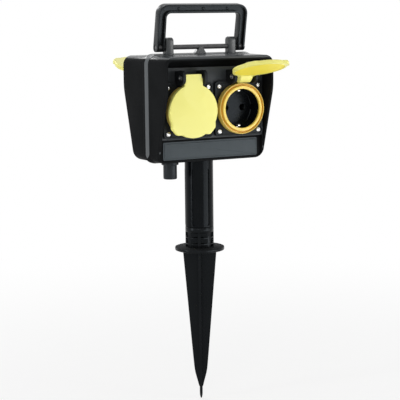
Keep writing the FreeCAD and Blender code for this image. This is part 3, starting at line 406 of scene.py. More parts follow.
spike_black = black_moulding(
    "spike_black", (0.0035, 0.0037, 0.004), (0.006, 0.0063, 0.0067), 2600.0, 0.26, gloss=0.12, scoured=disc_top
)

blade_length = (FIN_LENGTH + NOSE_LENGTH) * mm
blade = bmesh.new()
bmesh.ops.create_cube(blade, size=1.0)
bmesh.ops.scale(blade, vec=(2 * FIN_HALF * mm, 2 * FIN_HALF * mm, blade_length), verts=blade.verts)
bmesh.ops.translate(blade, vec=(0, 0, -blade_length / 2), verts=blade.verts)
sides = [face for face in blade.faces if abs(face.normal.z) < 0.5]
fins = bmesh.ops.extrude_discrete_faces(blade, faces=sides)["faces"]
for fin in fins:
    bmesh.ops.translate(blade, verts=fin.verts, vec=fin.normal * 14.0 * mm)
for drop in FIN_CUTS:
    bmesh.ops.bisect_plane(
        blade, geom=blade.verts[:] + blade.edges[:] + blade.faces[:], plane_co=(0, 0, -drop * mm), plane_no=(0, 0, 1)
    )


def fin_reach(drop):
    """How far a fin stands from the axis at this depth: a long taper, then the rounded nose."""
    for (d0, r0), (d1, r1) in zip(FIN_STOPS, FIN_STOPS[1:]):
        if drop <= d1 + 0.01:
            return r0 + (r1 - r0) * (drop - d0) / (d1 - d0)
    return FIN_STOPS[-1][1]


for vert in blade.verts:
    reach = fin_reach(-vert.co.z / mm) * mm
    if abs(vert.co.x) > 2 * FIN_HALF * mm:
        vert.co.x = reach if vert.co.x > 0 else -reach
        vert.co.y *= 0.9
    elif abs(vert.co.y) > 2 * FIN_HALF * mm:
        vert.co.y = reach if vert.co.y > 0 else -reach
        vert.co.x *= 0.9
bmesh.ops.recalc_face_normals(blade, faces=blade.faces)

needle = turned(
    [(0, -132), (1.5, -132), (1.5, -148), (1.42, -151), (1.0, -153.4), (0.45, -154.7), (0, -155)], steps=32
)
disc = turned(
    [
        (0, 0), (DISC_RADIUS - 0.9, 0), (DISC_RADIUS - 0.25, 0.25), (DISC_RADIUS, 0.9),
        (DISC_RADIUS, DISC_THICKNESS - 0.9), (DISC_RADIUS - 0.25, DISC_THICKNESS - 0.25),
        (DISC_RADIUS - 0.9, DISC_THICKNESS), (0, DISC_THICKNESS),
    ],
    steps=128,
)
core = slab(
    [(-CORE_HALF, -CORE_HALF), (CORE_HALF, -CORE_HALF), (CORE_HALF, CORE_HALF), (-CORE_HALF, CORE_HALF)],
    DISC_THICKNESS - 0.5, COLLAR_TOP - 0.5, plane="XY",
)
core = worked(core, turned([(0, 0), (CORE_CORNER, 0), (CORE_CORNER, 30), (0, 30)]), "INTERSECT")
teeth = []
for tip in TOOTH_HEIGHTS:
    root = (TOOTH_ROOT, tip - 1.2)
    teeth.append(turned([root, (COLUMN_RADIUS, tip - 0.5), (COLUMN_RADIUS, tip + 0.5), (TOOTH_ROOT, tip + 1.6), root]))
root = (TOOTH_ROOT, 17.8)
top_tooth = [
    root, (13.9, 18.7), (COLUMN_RADIUS, 19.1), (COLUMN_RADIUS, COLLAR_TOP - 0.4), (13.9, COLLAR_TOP),
    (TOOTH_ROOT, COLLAR_TOP), root,
]
teeth.append(turned(top_tooth))
ribs = []
for k in range(4):
    rib = slab(
        [
            (10.8, DISC_THICKNESS - 0.2), (RIB_REACH, DISC_THICKNESS - 0.2), (RIB_REACH, COLLAR_TOP - 1.2),
            (13.5, COLLAR_TOP - 0.4), (10.8, COLLAR_TOP - 0.4),
        ],
        -1.5, 1.5, radius=[0, 0.3, 0.5, 0.3, 0],
    )
    ribs.append(placed(rib, turn=90 * k))
plug_hole = turned([(0, 1), (PLUG_RADIUS + 0.1, 1), (PLUG_RADIUS + 0.1, 30), (0, 30)])
collar = worked(core, gathered(*teeth), "UNION")
collar = worked(collar, gathered(*ribs), "UNION")
collar = worked(collar, plug_hole, "DIFFERENCE")
spike = placed(gathered(blade, needle, disc, collar), turn=SPIKE_TURN)
finished("ground_spike_moulding", spike, spike_black, "spike_black", "root", "ground_spike", edge=0.35, sharp=50.0)


# ---------------------------------------------------------------------------
# Column: a black tube with six shallow flutes; its head is clamped between the
# housing shells and its plug sits in the spike's collar.
# ---------------------------------------------------------------------------
BOX_FOOT = 92.5
COLUMN_BORE = 8.5
HEAD_RADIUS = 19.0
HEAD_LOW, HEAD_HIGH = 95.5, 98.0
FLUTE_HALF = 1.7
FLUTE_FLOOR = 13.3
FLUTE_TURN = 9.0
FLUTE_LOW, FLUTE_HIGH = COLLAR_TOP + 2.0, BOX_FOOT - 9.5

column_black = black_moulding(
    "column_black", (0.003, 0.0034, 0.0038), (0.0055, 0.0061, 0.0067), 2400.0, 0.17, gloss=0.07
)
tube = turned(
    [
        (COLUMN_BORE, DISC_THICKNESS), (PLUG_RADIUS, DISC_THICKNESS), (PLUG_RADIUS, COLLAR_TOP),
        (COLUMN_RADIUS - 0.5, COLLAR_TOP), (COLUMN_RADIUS, COLLAR_TOP + 0.5), (COLUMN_RADIUS, HEAD_LOW),
        (HEAD_RADIUS, HEAD_LOW), (HEAD_RADIUS, HEAD_HIGH), (COLUMN_BORE, HEAD_HIGH), (COLUMN_BORE, DISC_THICKNESS),
    ],
    steps=120,
)
flutes = []
for k in range(6):
    flute = slab(
        [(-FLUTE_HALF, FLUTE_LOW), (FLUTE_HALF, FLUTE_LOW), (FLUTE_HALF, FLUTE_HIGH), (-FLUTE_HALF, FLUTE_HIGH)],
        -17.0, -FLUTE_FLOOR, radius=FLUTE_HALF * 0.98, segments=10,
    )
    flutes.append(placed(flute, turn=60 * k + FLUTE_TURN))
tube = worked(tube, gathered(*flutes), "DIFFERENCE")
finished("column_tube", tube, column_black, "housing_black", "root", "column", edge=0.25, sharp=40.0)


# ---------------------------------------------------------------------------
# Housing: two hooded half shells of black plastic, moulded with the recess and
# the raised plateau that the sockets are screwed to. The front one carries the
# seam bead, the handle's ears and the saddle that the axle lies on.
# ---------------------------------------------------------------------------
HALF_WIDTH = 60.0
BOX_TOP = 196.4
BOX_CORNER = 9.0
HOOD_DEPTH = 46.5
HOOD_DROP = 1.0
HOOD_TILTS = (2.8, 5.6, 8.4, 11.2, 14.0, 16.64)
BEND_RADIUS = 45.0
BEND_Z = 169.98
RECESS_HALF = 57.2
RECESS_LOW, RECESS_HIGH = 94.8, 191.6
FLOOR_DEPTH = 24.5
PLATEAU_HALF = 58.5
PLATEAU_LOW, PLATEAU_HIGH = 115.5, 184.6
PLATEAU_DEPTH = 28.6
CAVITY_HALF = 57.0
CAVITY_LOW, CAVITY_HIGH = 95.5, 192.8
CAVITY_DEPTH = 22.0
POCKET_HALF = 54.5
POCKET_LOW, POCKET_HIGH = 118.0, 182.1
POCKET_DEPTH = 26.1
BEAD_HALF = 61.5
BEAD_LOW, BEAD_HIGH = 91.0, 197.9
BEAD_CORNER = 10.5
BEAD_SIDE = 4.8
BEAD_INSET = 1.5
BEAD_RISE = 5.4
SOCKET_X = 28.25
SOCKET_Z = 143.5
WELL_BORE = 23.8
INLET_X = -32.5
INLET_BORE = 6.9
PIVOT = (-4.5, 203.8)
EAR_X = 35.0
EAR_HALF = 4.25
SHELL_SCREWS = [(x, z) for x in (-50.0, 50.0) for z in (103.0, 188.8)]


def housing_coat_and_highlight(place):
    """The housing's extra coat on the bead's slope, roof, ears and panel; then paler grey painted as highlight on the
    bead's slope, the roof and the panel where light falls, and a little on the foot of the bead's slope.
    """
    across, deep, high = place.part(0).size(), place.part(1).size(), place.part(2)
    corner_x, corner_z = (BEAD_HALF - BEAD_CORNER) * mm, (BEAD_HIGH - BEAD_CORNER) * mm
    slope_start = deep.above((BEAD_SIDE + 0.1) * mm, 0.0003)
    slope = slope_start * (1.0 - deep.above((BEAD_SIDE + BEAD_RISE + 0.1) * mm, 0.0002))
    around = ((across - corner_x) * (across - corner_x) + (high - corner_z) * (high - corner_z)).root()
    bend = around.above((BEAD_CORNER - BEAD_INSET + 0.1) * mm, 0.0001)
    bend = bend * across.above(corner_x, 0.003) * high.above(corner_z, 0.0005)
    side = across.above((BEAD_HALF - 1.4) * mm, 0.00008) * (1.0 - high.above(corner_z, 0.0005))
    bead_side = (side + bend) * slope
    bead_foot = (1.0 - high.above((BEAD_LOW + 1.1) * mm, 0.0004)) * slope
    roof = high.above((BOX_TOP - 2.9) * mm, 0.001)
    ears = high.above((BOX_TOP + 2.1) * mm, 0.0006)
    inside = 1.0 - across.above((PLATEAU_HALF + 0.3) * mm, 0.0002)
    inside = inside * (1.0 - high.above((PLATEAU_HIGH + 1.4) * mm, 0.0005))
    front_of = deep.above((PLATEAU_DEPTH - 0.3) * mm, 0.0001)
    panel = front_of * (1.0 - deep.above((PLATEAU_DEPTH + 0.3) * mm, 0.0001)) * inside
    shine = 0.8 * bead_side + 0.72 * roof + 0.15 * ears + 0.3 * panel
    # The second value is the painted highlight: where the base colour turns paler grey.
    return shine, 0.85 * bead_side + 0.3 * bead_foot + 0.5 * panel + 0.45 * roof


housing_black = black_moulding(
    "housing_black", (0.0095, 0.0102, 0.0108), (0.0148, 0.0156, 0.0164), 2100.0, 0.3, gloss=0.002,
    coat_and_highlight=housing_coat_and_highlight,
)


def upright(half, low, high):
    """The corners of an upright rectangle, as wide to the left as to the right."""
    return [(-half, low), (half, low), (half, high), (-half, high)]


def bored(radius, low, high, at=(0, 0), axis="Y", steps=64):
    """A round bore along an axis; at gives its other two coordinates."""
    way = {"X": (1, 0, 0), "Y": (0, 1, 0), "Z": (0, 0, 1)}[axis]
    drill = turned([(0, low), (radius, low), (radius, high), (0, high)], steps=steps, axis=way)
    u, v = at
    return placed(drill, move={"X": (0, u, v), "Y": (u, 0, v), "Z": (u, v, 0)}[axis])


def half_housing():
    """The outer form of one half, cut to its curved front and hollowed into the recess."""
    body = slab(upright(HALF_WIDTH, BOX_FOOT, BOX_TOP), -HOOD_DEPTH, 0, radius=BOX_CORNER, segments=10)
    for vert in body.verts:
        if vert.co.y < -0.04 and vert.co.z > 0.15:
            vert.co.z -= HOOD_DROP * mm
    bend_centre = Vector((0, -HOOD_DEPTH + BEND_RADIUS, BEND_Z))
    for tilt in HOOD_TILTS:
        outward = Vector((0, -cos(radians(tilt)), -sin(radians(tilt))))
        bmesh.ops.bisect_plane(
            body, geom=body.verts[:] + body.edges[:] + body.faces[:], clear_outer=True,
            plane_co=(bend_centre + outward * BEND_RADIUS) * mm, plane_no=outward,
        )
        bmesh.ops.holes_fill(body, edges=[edge for edge in body.edges if edge.is_boundary])
    bmesh.ops.recalc_face_normals(body, faces=body.faces)
    rim = [e for e in body.edges if e.calc_face_angle(0) > 0.6 and min(f.normal.y for f in e.link_faces) < -0.9]
    bmesh.ops.bevel(body, geom=rim, offset=1.5 * mm, segments=4, profile=0.5, affect="EDGES", material=-1)
    recess = slab(upright(RECESS_HALF, RECESS_LOW, RECESS_HIGH), -50.0, -FLOOR_DEPTH, radius=5.0, segments=8)
    body = worked(body, recess, "DIFFERENCE")
    plateau = slab(upright(PLATEAU_HALF, PLATEAU_LOW, PLATEAU_HIGH), -PLATEAU_DEPTH, -FLOOR_DEPTH + 1.0)
    return worked(body, plateau, "UNION")


def hollows(inlet_x):
    """What is cut from a half: the cavity, the pocket behind the plateau, the bores in front and foot."""
    cuts = [
        slab(upright(CAVITY_HALF, CAVITY_LOW, CAVITY_HIGH), -CAVITY_DEPTH, 2.0, radius=5.0),
        slab(upright(POCKET_HALF, POCKET_LOW, POCKET_HIGH), -POCKET_DEPTH, -CAVITY_DEPTH + 0.5),
        bored(COLUMN_RADIUS + 0.1, 80.0, 98.0, axis="Z"),
        bored(INLET_BORE, 80.0, 98.0, at=(inlet_x, 0), axis="Z"),
    ]
    for x in (-SOCKET_X, SOCKET_X):
        cuts.append(bored(WELL_BORE, -32.0, -21.0, at=(x, SOCKET_Z)))
    return cuts


def handle_ear(x):
    """One of the two ears that hold the handle's axle, round on top."""
    ear = slab(
        [(-8.7, 195.0), (-0.3, 195.0), (-0.3, 213.3), (-8.7, 213.3)],
        x - EAR_HALF, x + EAR_HALF, radius=[0, 0, 3.8, 3.8], plane="YZ",
    )
    lengthwise = [e for e in ear.edges if abs(e.verts[0].co.x - e.verts[1].co.x) < 1e-6]
    brow = [e for e in lengthwise if max(v.co.z for v in e.verts) > 0.2085]
    bmesh.ops.bevel(ear, geom=brow, offset=1.3 * mm, segments=4, profile=0.5, affect="EDGES", material=-1)
    return ear


front = half_housing()
bead = slab(upright(BEAD_HALF, BEAD_LOW, BEAD_HIGH), -BEAD_SIDE, -0.05, radius=BEAD_CORNER, segments=10)
brow = [f for f in bead.faces if f.normal.y < -0.9]
bmesh.ops.inset_region(bead, faces=brow, thickness=BEAD_INSET * mm, depth=BEAD_RISE * mm)
level = [e for e in bead.edges if abs(e.verts[0].co.y - e.verts[1].co.y) < 1e-6]
lips = [e for e in level if max(v.co.y for v in e.verts) > -0.1 * mm]
bmesh.ops.bevel(bead, geom=lips, offset=1.2 * mm, segments=4, profile=0.5, affect="EDGES", material=-1)
ridge = PIVOT[1] + 0.5
saddle = slab(
    [(-5.25, 195), (5.25, 195), (5.25, BEAD_HIGH), (1.2, ridge), (-1.2, ridge), (-5.25, BEAD_HIGH)], -7.8, -1.2
)
axle_hole = bored(2.45, -70.0, 70.0, at=PIVOT, axis="X", steps=32)
front = worked(front, gathered(bead, saddle, handle_ear(-EAR_X), handle_ear(EAR_X)), "UNION")
front = worked(front, gathered(*hollows(INLET_X), axle_hole), "DIFFERENCE")
finished(
    "front_half_shell", front, housing_black, "housing_black", "root", "front_shell",
    edge=0.4, sharp=38.0, segments=2,
)

rear = half_housing()
seats = [bored(4.5, -24.49, -15.0, at=at, steps=40) for at in SHELL_SCREWS]
heads = [bored(3.5, -26.0, -21.9, at=at, steps=40) for at in SHELL_SCREWS]
rear = worked(rear, gathered(*hollows(-INLET_X)), "DIFFERENCE")
rear = worked(rear, gathered(*seats), "UNION")
rear = worked(rear, gathered(*heads), "DIFFERENCE")
placed(rear, turn=180.0)
finished(
    "rear_half_shell", rear, housing_black, "housing_black", "root", "rear_shell",
    edge=0.4, sharp=38.0, segments=2,
)


# ---------------------------------------------------------------------------
# Label place: a bare plate stuck in the front recess under the sockets, dark
# grey and satin, with a fine line pressed round its edge.
# ---------------------------------------------------------------------------
PLATE_HALF = 52.7
PLATE_LOW, PLATE_HIGH = 95.4, 113.0
PLATE_THICKNESS = 0.5

plate_grey = black_moulding("plate_grey", (0.036, 0.043, 0.047), (0.051, 0.060, 0.065), 3400.0, 0.46, gloss=0.25)
plate = slab(
    upright(PLATE_HALF, PLATE_LOW, PLATE_HIGH), -FLOOR_DEPTH - PLATE_THICKNESS, -FLOOR_DEPTH, radius=1.5
)
face = [f for f in plate.faces if f.normal.y < -0.9]
bmesh.ops.inset_region(plate, faces=face, thickness=1.2 * mm)
bmesh.ops.inset_region(plate, faces=face, thickness=0.25 * mm, depth=-0.18 * mm)
bmesh.ops.inset_region(plate, faces=face, thickness=0.25 * mm, depth=0.18 * mm)
finished("bare_plate", plate, plate_grey, "plate_grey", "root", "label_plate", sharp=25.0)


# ---------------------------------------------------------------------------
# Cable inlet: a firm rubber sleeve pushed through the foot of the housing, with
# a shoulder under the bead and a head inside.
# ---------------------------------------------------------------------------
SLEEVE_PROFILE = [
    (4.3, 74.4), (4.7, 74.0), (5.9, 74.0), (6.5, 74.3), (6.8, 75.0), (6.8, 87.8), (7.2, 88.2), (8.2, 88.2),
    (8.5, 88.5), (8.5, 90.7), (8.2, 91.0), (6.8, 91.0), (6.8, 95.5), (9.0, 95.5), (9.0, 98.5), (4.3, 98.5),
    (4.3, 74.4),
]

sleeve_rubber = black_moulding(
    "sleeve_rubber", (0.013, 0.0144, 0.0155), (0.02, 0.022, 0.0232), 1700.0, 0.34, gloss=0.17
)
sleeve = placed(turned(SLEEVE_PROFILE, steps=72), move=(INLET_X, 0, 0))
finished("inlet_sleeve", sleeve, sleeve_rubber, "sleeve_rubber", "root", "cable_sleeve")


# ---------------------------------------------------------------------------
# Socket flanges: square black plates screwed to the plateau, each with a raised
# border, four counterbores, and the two lugs that hold a lid's hinge pin.
# ---------------------------------------------------------------------------
FLANGE_HALF = 26.9
FLANGE_FRONT = 32.4
FLANGE_BACK = 29.2
SCREW_PITCH_HALF = 22.0
SEAT_DEPTH = 31.5
HINGE_Y = 41.0
HINGE_Z = 175.1
LUG_GAP = 0.3
LUG_THICKNESS = 2.6
NECK_HALF = 10.15
stations = [
    ("front_left", -SOCKET_X, False, False), ("front_right", SOCKET_X, False, True),
    ("rear_left", -SOCKET_X, True, False), ("rear_right", SOCKET_X, True, True),
]


def at_station(bm, x, rear):
    """A form made round the origin's socket axis, taken to its own face."""
    placed(bm, move=(x, 0, 0))
    return placed(bm, turn=180.0) if rear else bm


def corners():
    """Where a flange's four screws stand."""
    reach = SCREW_PITCH_HALF
    return [(dx, SOCKET_Z + dz) for dx in (-reach, reach) for dz in (-reach, reach)]


flange_black = black_moulding("flange_black", (0.011, 0.012, 0.013), (0.019, 0.0205, 0.0218), 2500.0, 0.34, gloss=0.12)
for name, x, rear, is_open in stations:
    square = upright(FLANGE_HALF, SOCKET_Z - FLANGE_HALF, SOCKET_Z + FLANGE_HALF)
    flange = slab(square, -FLANGE_FRONT, -FLANGE_BACK, radius=4.0)
    face = [f for f in flange.faces if f.normal.y < -0.9]
    bmesh.ops.inset_region(flange, faces=face, thickness=1.6 * mm)
    bmesh.ops.inset_region(flange, faces=face, thickness=0.35 * mm, depth=-0.45 * mm)
    lugs = []
    for side in (-1, 1):
        near = side * (NECK_HALF + LUG_GAP)
        far = near + side * LUG_THICKNESS
        lug = slab(
            [(-29.5, 168.0), (-29.5, 181.4), (-41.0, 182.4), (-47.4, 182.4), (-47.4, 170.95), (-41.0, 168.0)],
            min(near, far), max(near, far), radius=[0, 1.0, 1.0, 5.4, 4.5, 1.0], plane="YZ", segments=10,
        )
        lugs.append(lug)
    cuts = [
        bored(21.8, -36.0, -28.0, at=(0, SOCKET_Z), steps=96),
        bored(1.25, -30.0, 30.0, at=(-HINGE_Y, HINGE_Z), axis="X", steps=24),
    ]
    for at in corners():
        cuts.append(bored(3.9, -36.0, -SEAT_DEPTH, at=at, steps=40))
    flange = worked(flange, gathered(*lugs), "UNION")
    flange = at_station(worked(flange, gathered(*cuts), "DIFFERENCE"), x, rear)
    finished(
        name + "_flange_plate", flange, flange_black, "flange_black", "root", "flange_" + name, edge=0.3, segments=2
    )


# ---------------------------------------------------------------------------
# Flange screws: bright nickel-plated pan heads with a cross recess, four to a
# flange, each turned to where it was driven home.
# ---------------------------------------------------------------------------
def plated(name, bright, dull, roughness):
    """Nickel plate: bright metal with faint wipe marks and a little dulling."""
    material = bpy.data.materials.new(name)
    material.use_nodes = True
    tree = material.node_tree
    shader = tree.nodes["Principled BSDF"]
    start = Tone(tree)
    place = start.node("ShaderNodeTexCoord", {}, {}, out=3)
    haze = start.node("ShaderNodeTexNoise", {}, {"Vector": place, "Scale": 260.0, "Detail": 4.0, "Roughness": 0.6})
    hairline = start.node("ShaderNodeTexNoise", {}, {"Vector": place, "Scale": 1900.0, "Detail": 2.0})
    tint = haze.above(0.5, 0.25).blend((*bright, 1.0), (*dull, 1.0))
    rough = roughness + 0.16 * haze - 0.08
    bump = start.node("ShaderNodeBump", {}, {"Strength": 0.12, "Distance": 0.00005, "Height": hairline})
    tree.links.new(tint.socket, shader.inputs["Base Color"])
    tree.links.new(rough.socket, shader.inputs["Roughness"])
    tree.links.new(bump.socket, shader.inputs["Normal"])
    shader.inputs["Metallic"].default_value = 1.0
    return material


HEAD_PROFILE = [(0, 31.5), (2.6, 31.5), (2.6, 31.9), (2.35, 32.5), (1.9, 32.9), (1.2, 33.1), (0, 33.1)]
SLOT_REACH = 1.7
SLOT_HALF = 0.36
SLOT_FLOOR = 31.9

nickel = plated("nickel_plate", (0.80, 0.80, 0.79), (0.42, 0.42, 0.415), 0.2)
screws = []
for name, x, rear, is_open in stations:
    for k, (u, v) in enumerate(corners()):
        head = turned(HEAD_PROFILE, steps=40, axis=(0, -1, 0))
        blades = [slab(upright(SLOT_REACH, -SLOT_HALF, SLOT_HALF), -34.0, -SLOT_FLOOR) for _ in range(2)]
        placed(blades[1], turn=90.0, axis="Y")
        head = worked(head, worked(blades[0], blades[1], "UNION"), "DIFFERENCE")
        shank = bored(1.5, -31.6, -22.5, steps=16)
        screw = placed(gathered(head, shank), turn=37.0 * k + 11.0, axis="Y")
        screws.append(at_station(placed(screw, move=(u, 0, v)), x, rear))
finished("flange_screw_set", gathered(*screws), nickel, "screw_steel", "root", "flange_screws", sharp=30.0)


# ---------------------------------------------------------------------------
# Collars: a golden yellow ring pressed on each flange round the well, its face
# dished between an outer and an inner lip.
# ---------------------------------------------------------------------------
def coloured_moulding(name, tint, deep, roughness, grain, gloss=0.5, shade_bands=None):
    """Self-coloured glossy plastic: slight flow clouding, deeper in the hollows of the grain."""
    material = bpy.data.materials.new(name)
    material.use_nodes = True
    tree = material.node_tree
    shader = tree.nodes["Principled BSDF"]
    start = Tone(tree)
    place = start.node("ShaderNodeTexCoord", {}, {}, out=3)
    flow = start.node("ShaderNodeTexNoise", {}, {"Vector": place, "Scale": 38.0, "Detail": 3.0, "Distortion": 0.6})
    speck = start.node("ShaderNodeTexNoise", {}, {"Vector": place, "Scale": grain, "Detail": 3.0, "Roughness": 0.6})
    shade = flow.above(0.55, 0.3) * 0.7 + speck.above(0.64, 0.08) * 0.3
    colour = shade.blend((*tint, 1.0), (*deep, 1.0))
    # Where given, bands of painted shade are laid over the colour.
    if shade_bands:
        colour = shade_bands(place, colour)
    rough = roughness + 0.14 * flow - 0.07
    bump = start.node("ShaderNodeBump", {}, {"Strength": 0.1, "Distance": 0.00008, "Height": speck})
    tree.links.new(colour.socket, shader.inputs["Base Color"])
    tree.links.new(rough.socket, shader.inputs["Roughness"])
    tree.links.new(bump.socket, shader.inputs["Normal"])
    shader.inputs["Specular IOR Level"].default_value = gloss
    return material


# Painted shade: deeper orange for the collar's valley, ochre for its outer wall.
VALLEY_SHADE_ORANGE = (0.66, 0.36, 0.05, 1.0)
WALL_SHADE_OCHRE = (0.64, 0.46, 0.12, 1.0)
VALLEY_INNER, VALLEY_OUTER = 22.1, 24.1


def ring_painted_shade(place, colour):
    """A collar's colour by its radius: the lips keep the base tint; painted shade turns the valley deeper orange and
    the outer wall ochre.
    """
    across = place.part(0).size() - SOCKET_X * mm
    high = place.part(2) - SOCKET_Z * mm
    radius = (across * across + high * high).root()
    wall_shade = radius.above(VALLEY_OUTER * mm, 0.0003)
    valley_shade = radius.above(VALLEY_INNER * mm, 0.0003) * (1.0 - wall_shade)
    colour = (0.7 * valley_shade).blend(colour, VALLEY_SHADE_ORANGE)
    return (0.55 * wall_shade).blend(colour, WALL_SHADE_OCHRE)


RING_PROFILE = [
    (25.0, 32.4), (25.0, 38.1), (24.85, 38.5), (24.5, 38.7), (24.2, 38.6), (24.05, 38.3), (23.9, 37.0),
    (23.5, 36.4), (22.9, 36.4), (22.55, 36.9), (22.35, 38.2), (22.15, 38.95), (21.7, 39.4), (21.2, 39.5),
    (19.8, 39.5), (19.35, 39.3), (19.1, 38.8), (19.1, 37.6), (21.8, 37.6), (21.8, 32.4), (25.0, 32.4),
]

collar_yellow = coloured_moulding(
    "collar_yellow", (0.90, 0.68, 0.13), (0.86, 0.61, 0.10), 0.26, 1500.0, shade_bands=ring_painted_shade
)
for name, x, rear, is_open in stations:
    ring = turned(RING_PROFILE, steps=160, axis=(0, -1, 0))
    ring = at_station(placed(ring, move=(0, 0, SOCKET_Z)), x, rear)
    finished(name + "_collar_ring", ring, collar_yellow, "collar_yellow", "root", "collar_" + name, sharp=32.0)


# ---------------------------------------------------------------------------
# Contact carriers: glossy black thermoset cups that form the wells, with two
# pin holes, guide ribs at the sides and a channel for each earth tongue.
# ---------------------------------------------------------------------------
WELL_FLOOR = 22.0
WELL_RADIUS = 19.5
CUP_PROFILE = [
    (0, 8.6), (21.7, 8.6), (21.7, 27.0), (23.5, 27.0), (23.5, FLANGE_BACK), (21.7, FLANGE_BACK), (21.7, 37.6),
    (19.9, 37.6), (WELL_RADIUS, 37.2), (WELL_RADIUS, WELL_FLOOR + 0.6), (WELL_RADIUS - 0.6, WELL_FLOOR),
    (0, WELL_FLOOR),
]
PIN_X = 9.5
PIN_HOLE = 2.6
RIB_PROFILE = [(18.0, -2.4), (19.7, -2.4), (19.7, 2.4), (18.0, 2.4)]
CHANNEL_HALF = 2.8

carrier_black = black_moulding(
    "carrier_black", (0.002, 0.0023, 0.0029), (0.0035, 0.004, 0.005), 900.0, 0.26, gloss=0.2
)
for name, x, rear, is_open in stations:
    cup = turned(CUP_PROFILE, steps=128, axis=(0, -1, 0))
    ribs = []
    for side in (-1, 1):
        rib = slab(RIB_PROFILE, -33.2, -WELL_FLOOR + 0.1, radius=[0.5, 0, 0, 0.5])
        ribs.append(placed(rib, turn=0.0 if side > 0 else 180.0, axis="Y"))
    cup = worked(cup, gathered(*ribs), "UNION")
    cuts = []
    for px in (-PIN_X, PIN_X):
        cuts.append(bored(PIN_HOLE, -23.0, -12.0, at=(px, 0), steps=40))
        mouth = [(0, 21.2), (PIN_HOLE, 21.2), (3.4, 22.01), (3.4, 22.3), (0, 22.3)]
        cuts.append(placed(turned(mouth, steps=40, axis=(0, -1, 0)), move=(px, 0, 0)))
    for side in (-1, 1):
        low, high = sorted((side * 16.5, side * 20.4))
        cuts.append(slab(upright(CHANNEL_HALF, low, high), -33.5, -WELL_FLOOR))
        low, high = sorted((side * 18.0, side * 19.4))
        cuts.append(slab(upright(CHANNEL_HALF, low, high), -22.5, -8.0))
    cup = placed(worked(cup, gathered(*cuts), "DIFFERENCE"), move=(0, 0, SOCKET_Z))
    cup = at_station(cup, x, rear)
    finished(
        name + "_contact_carrier", cup, carrier_black, "insert_black", "root", "insert_" + name, edge=0.25, segments=2
    )


# ---------------------------------------------------------------------------
# Earth clips: one bent strip of nickel-plated brass in each well, its two bowed
# tongues joined by a bridge behind the carrier.
# ---------------------------------------------------------------------------
CLIP_HALF = 2.5
CLIP_THICKNESS = 0.8
CLIP_ROUTE = [
    (-30.9, 18.9), (-31.8, 18.8), (-32.3, 18.2), (-32.35, 17.3), (-32.2, 16.5), (-31.5, 15.9), (-30.2, 15.7),
    (-28.6, 15.8), (-26.4, 16.5), (-24.4, 17.6), (-22.6, 18.7), (-20.0, 18.7), (-12.0, 18.7), (-9.6, 18.6),
    (-8.4, 18.0), (-8.2, 17.0),
]
CLIP_ROUTE += [(y, -z) for y, z in reversed(CLIP_ROUTE)]
NOSE_START = -31.4
NOSE_SHARE = 0.42

plated_brass = plated("plated_brass", (0.88, 0.86, 0.80), (0.74, 0.71, 0.62), 0.22)
for name, x, rear, is_open in stations:
    strip = bmesh.new()
    line = [strip.verts.new((-CLIP_HALF * mm, y * mm, (SOCKET_Z + z) * mm)) for y, z in CLIP_ROUTE]
    run = [strip.edges.new(pair) for pair in zip(line, line[1:])]
    pulled = bmesh.ops.extrude_edge_only(strip, edges=run)["geom"]
    edge_verts = [part for part in pulled if isinstance(part, bmesh.types.BMVert)]
    bmesh.ops.translate(strip, verts=edge_verts, vec=(2 * CLIP_HALF * mm, 0, 0))
    for vert in strip.verts:
        if vert.co.y < NOSE_START * mm:
            vert.co.x *= NOSE_SHARE
    bmesh.ops.recalc_face_normals(strip, faces=strip.faces)
    bmesh.ops.solidify(strip, geom=strip.faces[:], thickness=CLIP_THICKNESS * mm)
    bmesh.ops.recalc_face_normals(strip, faces=strip.faces)
    strip = at_station(strip, x, rear)
    finished(
        name + "_earth_strip", strip, plated_brass, "contact_metal", "root", "earth_clip_" + name, sharp=50.0
    )


# ---------------------------------------------------------------------------
# Lids: pale yellow discs with a neck up to the hinge barrel and two lower ears,
# a skirt behind, and a soft pad that closes on the collar. Two stand open.
# ---------------------------------------------------------------------------
OPEN_ANGLE = 105.0
LID_BACK = 39.8
LID_FRONT = 43.8
LID_RADIUS = 26.0
SKIRT_RADIUS = 24.2
FEET_LOW = SOCKET_Z - 22.8
FEET_HIGH = SOCKET_Z - 7.9
FEET_HALF = 23.6
NECK_STEP = HINGE_Z - 0.6
NECK_TOP = HINGE_Z + 3.5
TAB_HALF = 8.5
PAD_PROFILE = [(0, 39.9), (23.4, 39.9), (24.0, 40.4), (24.1, 41.0), (24.1, 41.8), (0, 41.8)]

lid_yellow = coloured_moulding("lid_yellow", (0.88, 0.84, 0.235), (0.85, 0.80, 0.19), 0.34, 1300.0)
pad_yellow = coloured_moulding("pad_yellow", (0.97, 0.83, 0.09), (0.95, 0.79, 0.07), 0.55, 800.0, gloss=0.2)


def swung(bm):
    """Turned up about the hinge pin, as the open lids stand."""
    return placed(bm, turn=-OPEN_ANGLE, axis="X", about=(0, -HINGE_Y, HINGE_Z))


def knuckle():
    """The hinge barrel, chamfered at its ends, flush with the lid's face and level on top."""
    profile = [(0, -TAB_HALF), (3.8, -TAB_HALF), (6.2, -6.1), (6.2, 6.1), (3.8, TAB_HALF), (0, TAB_HALF)]
    barrel = placed(turned(profile, steps=64, axis=(1, 0, 0)), move=(0, -HINGE_Y, HINGE_Z))
    return worked(barrel, slab(upright(9.0, 160.0, NECK_TOP), -LID_FRONT, -30.0), "INTERSECT")


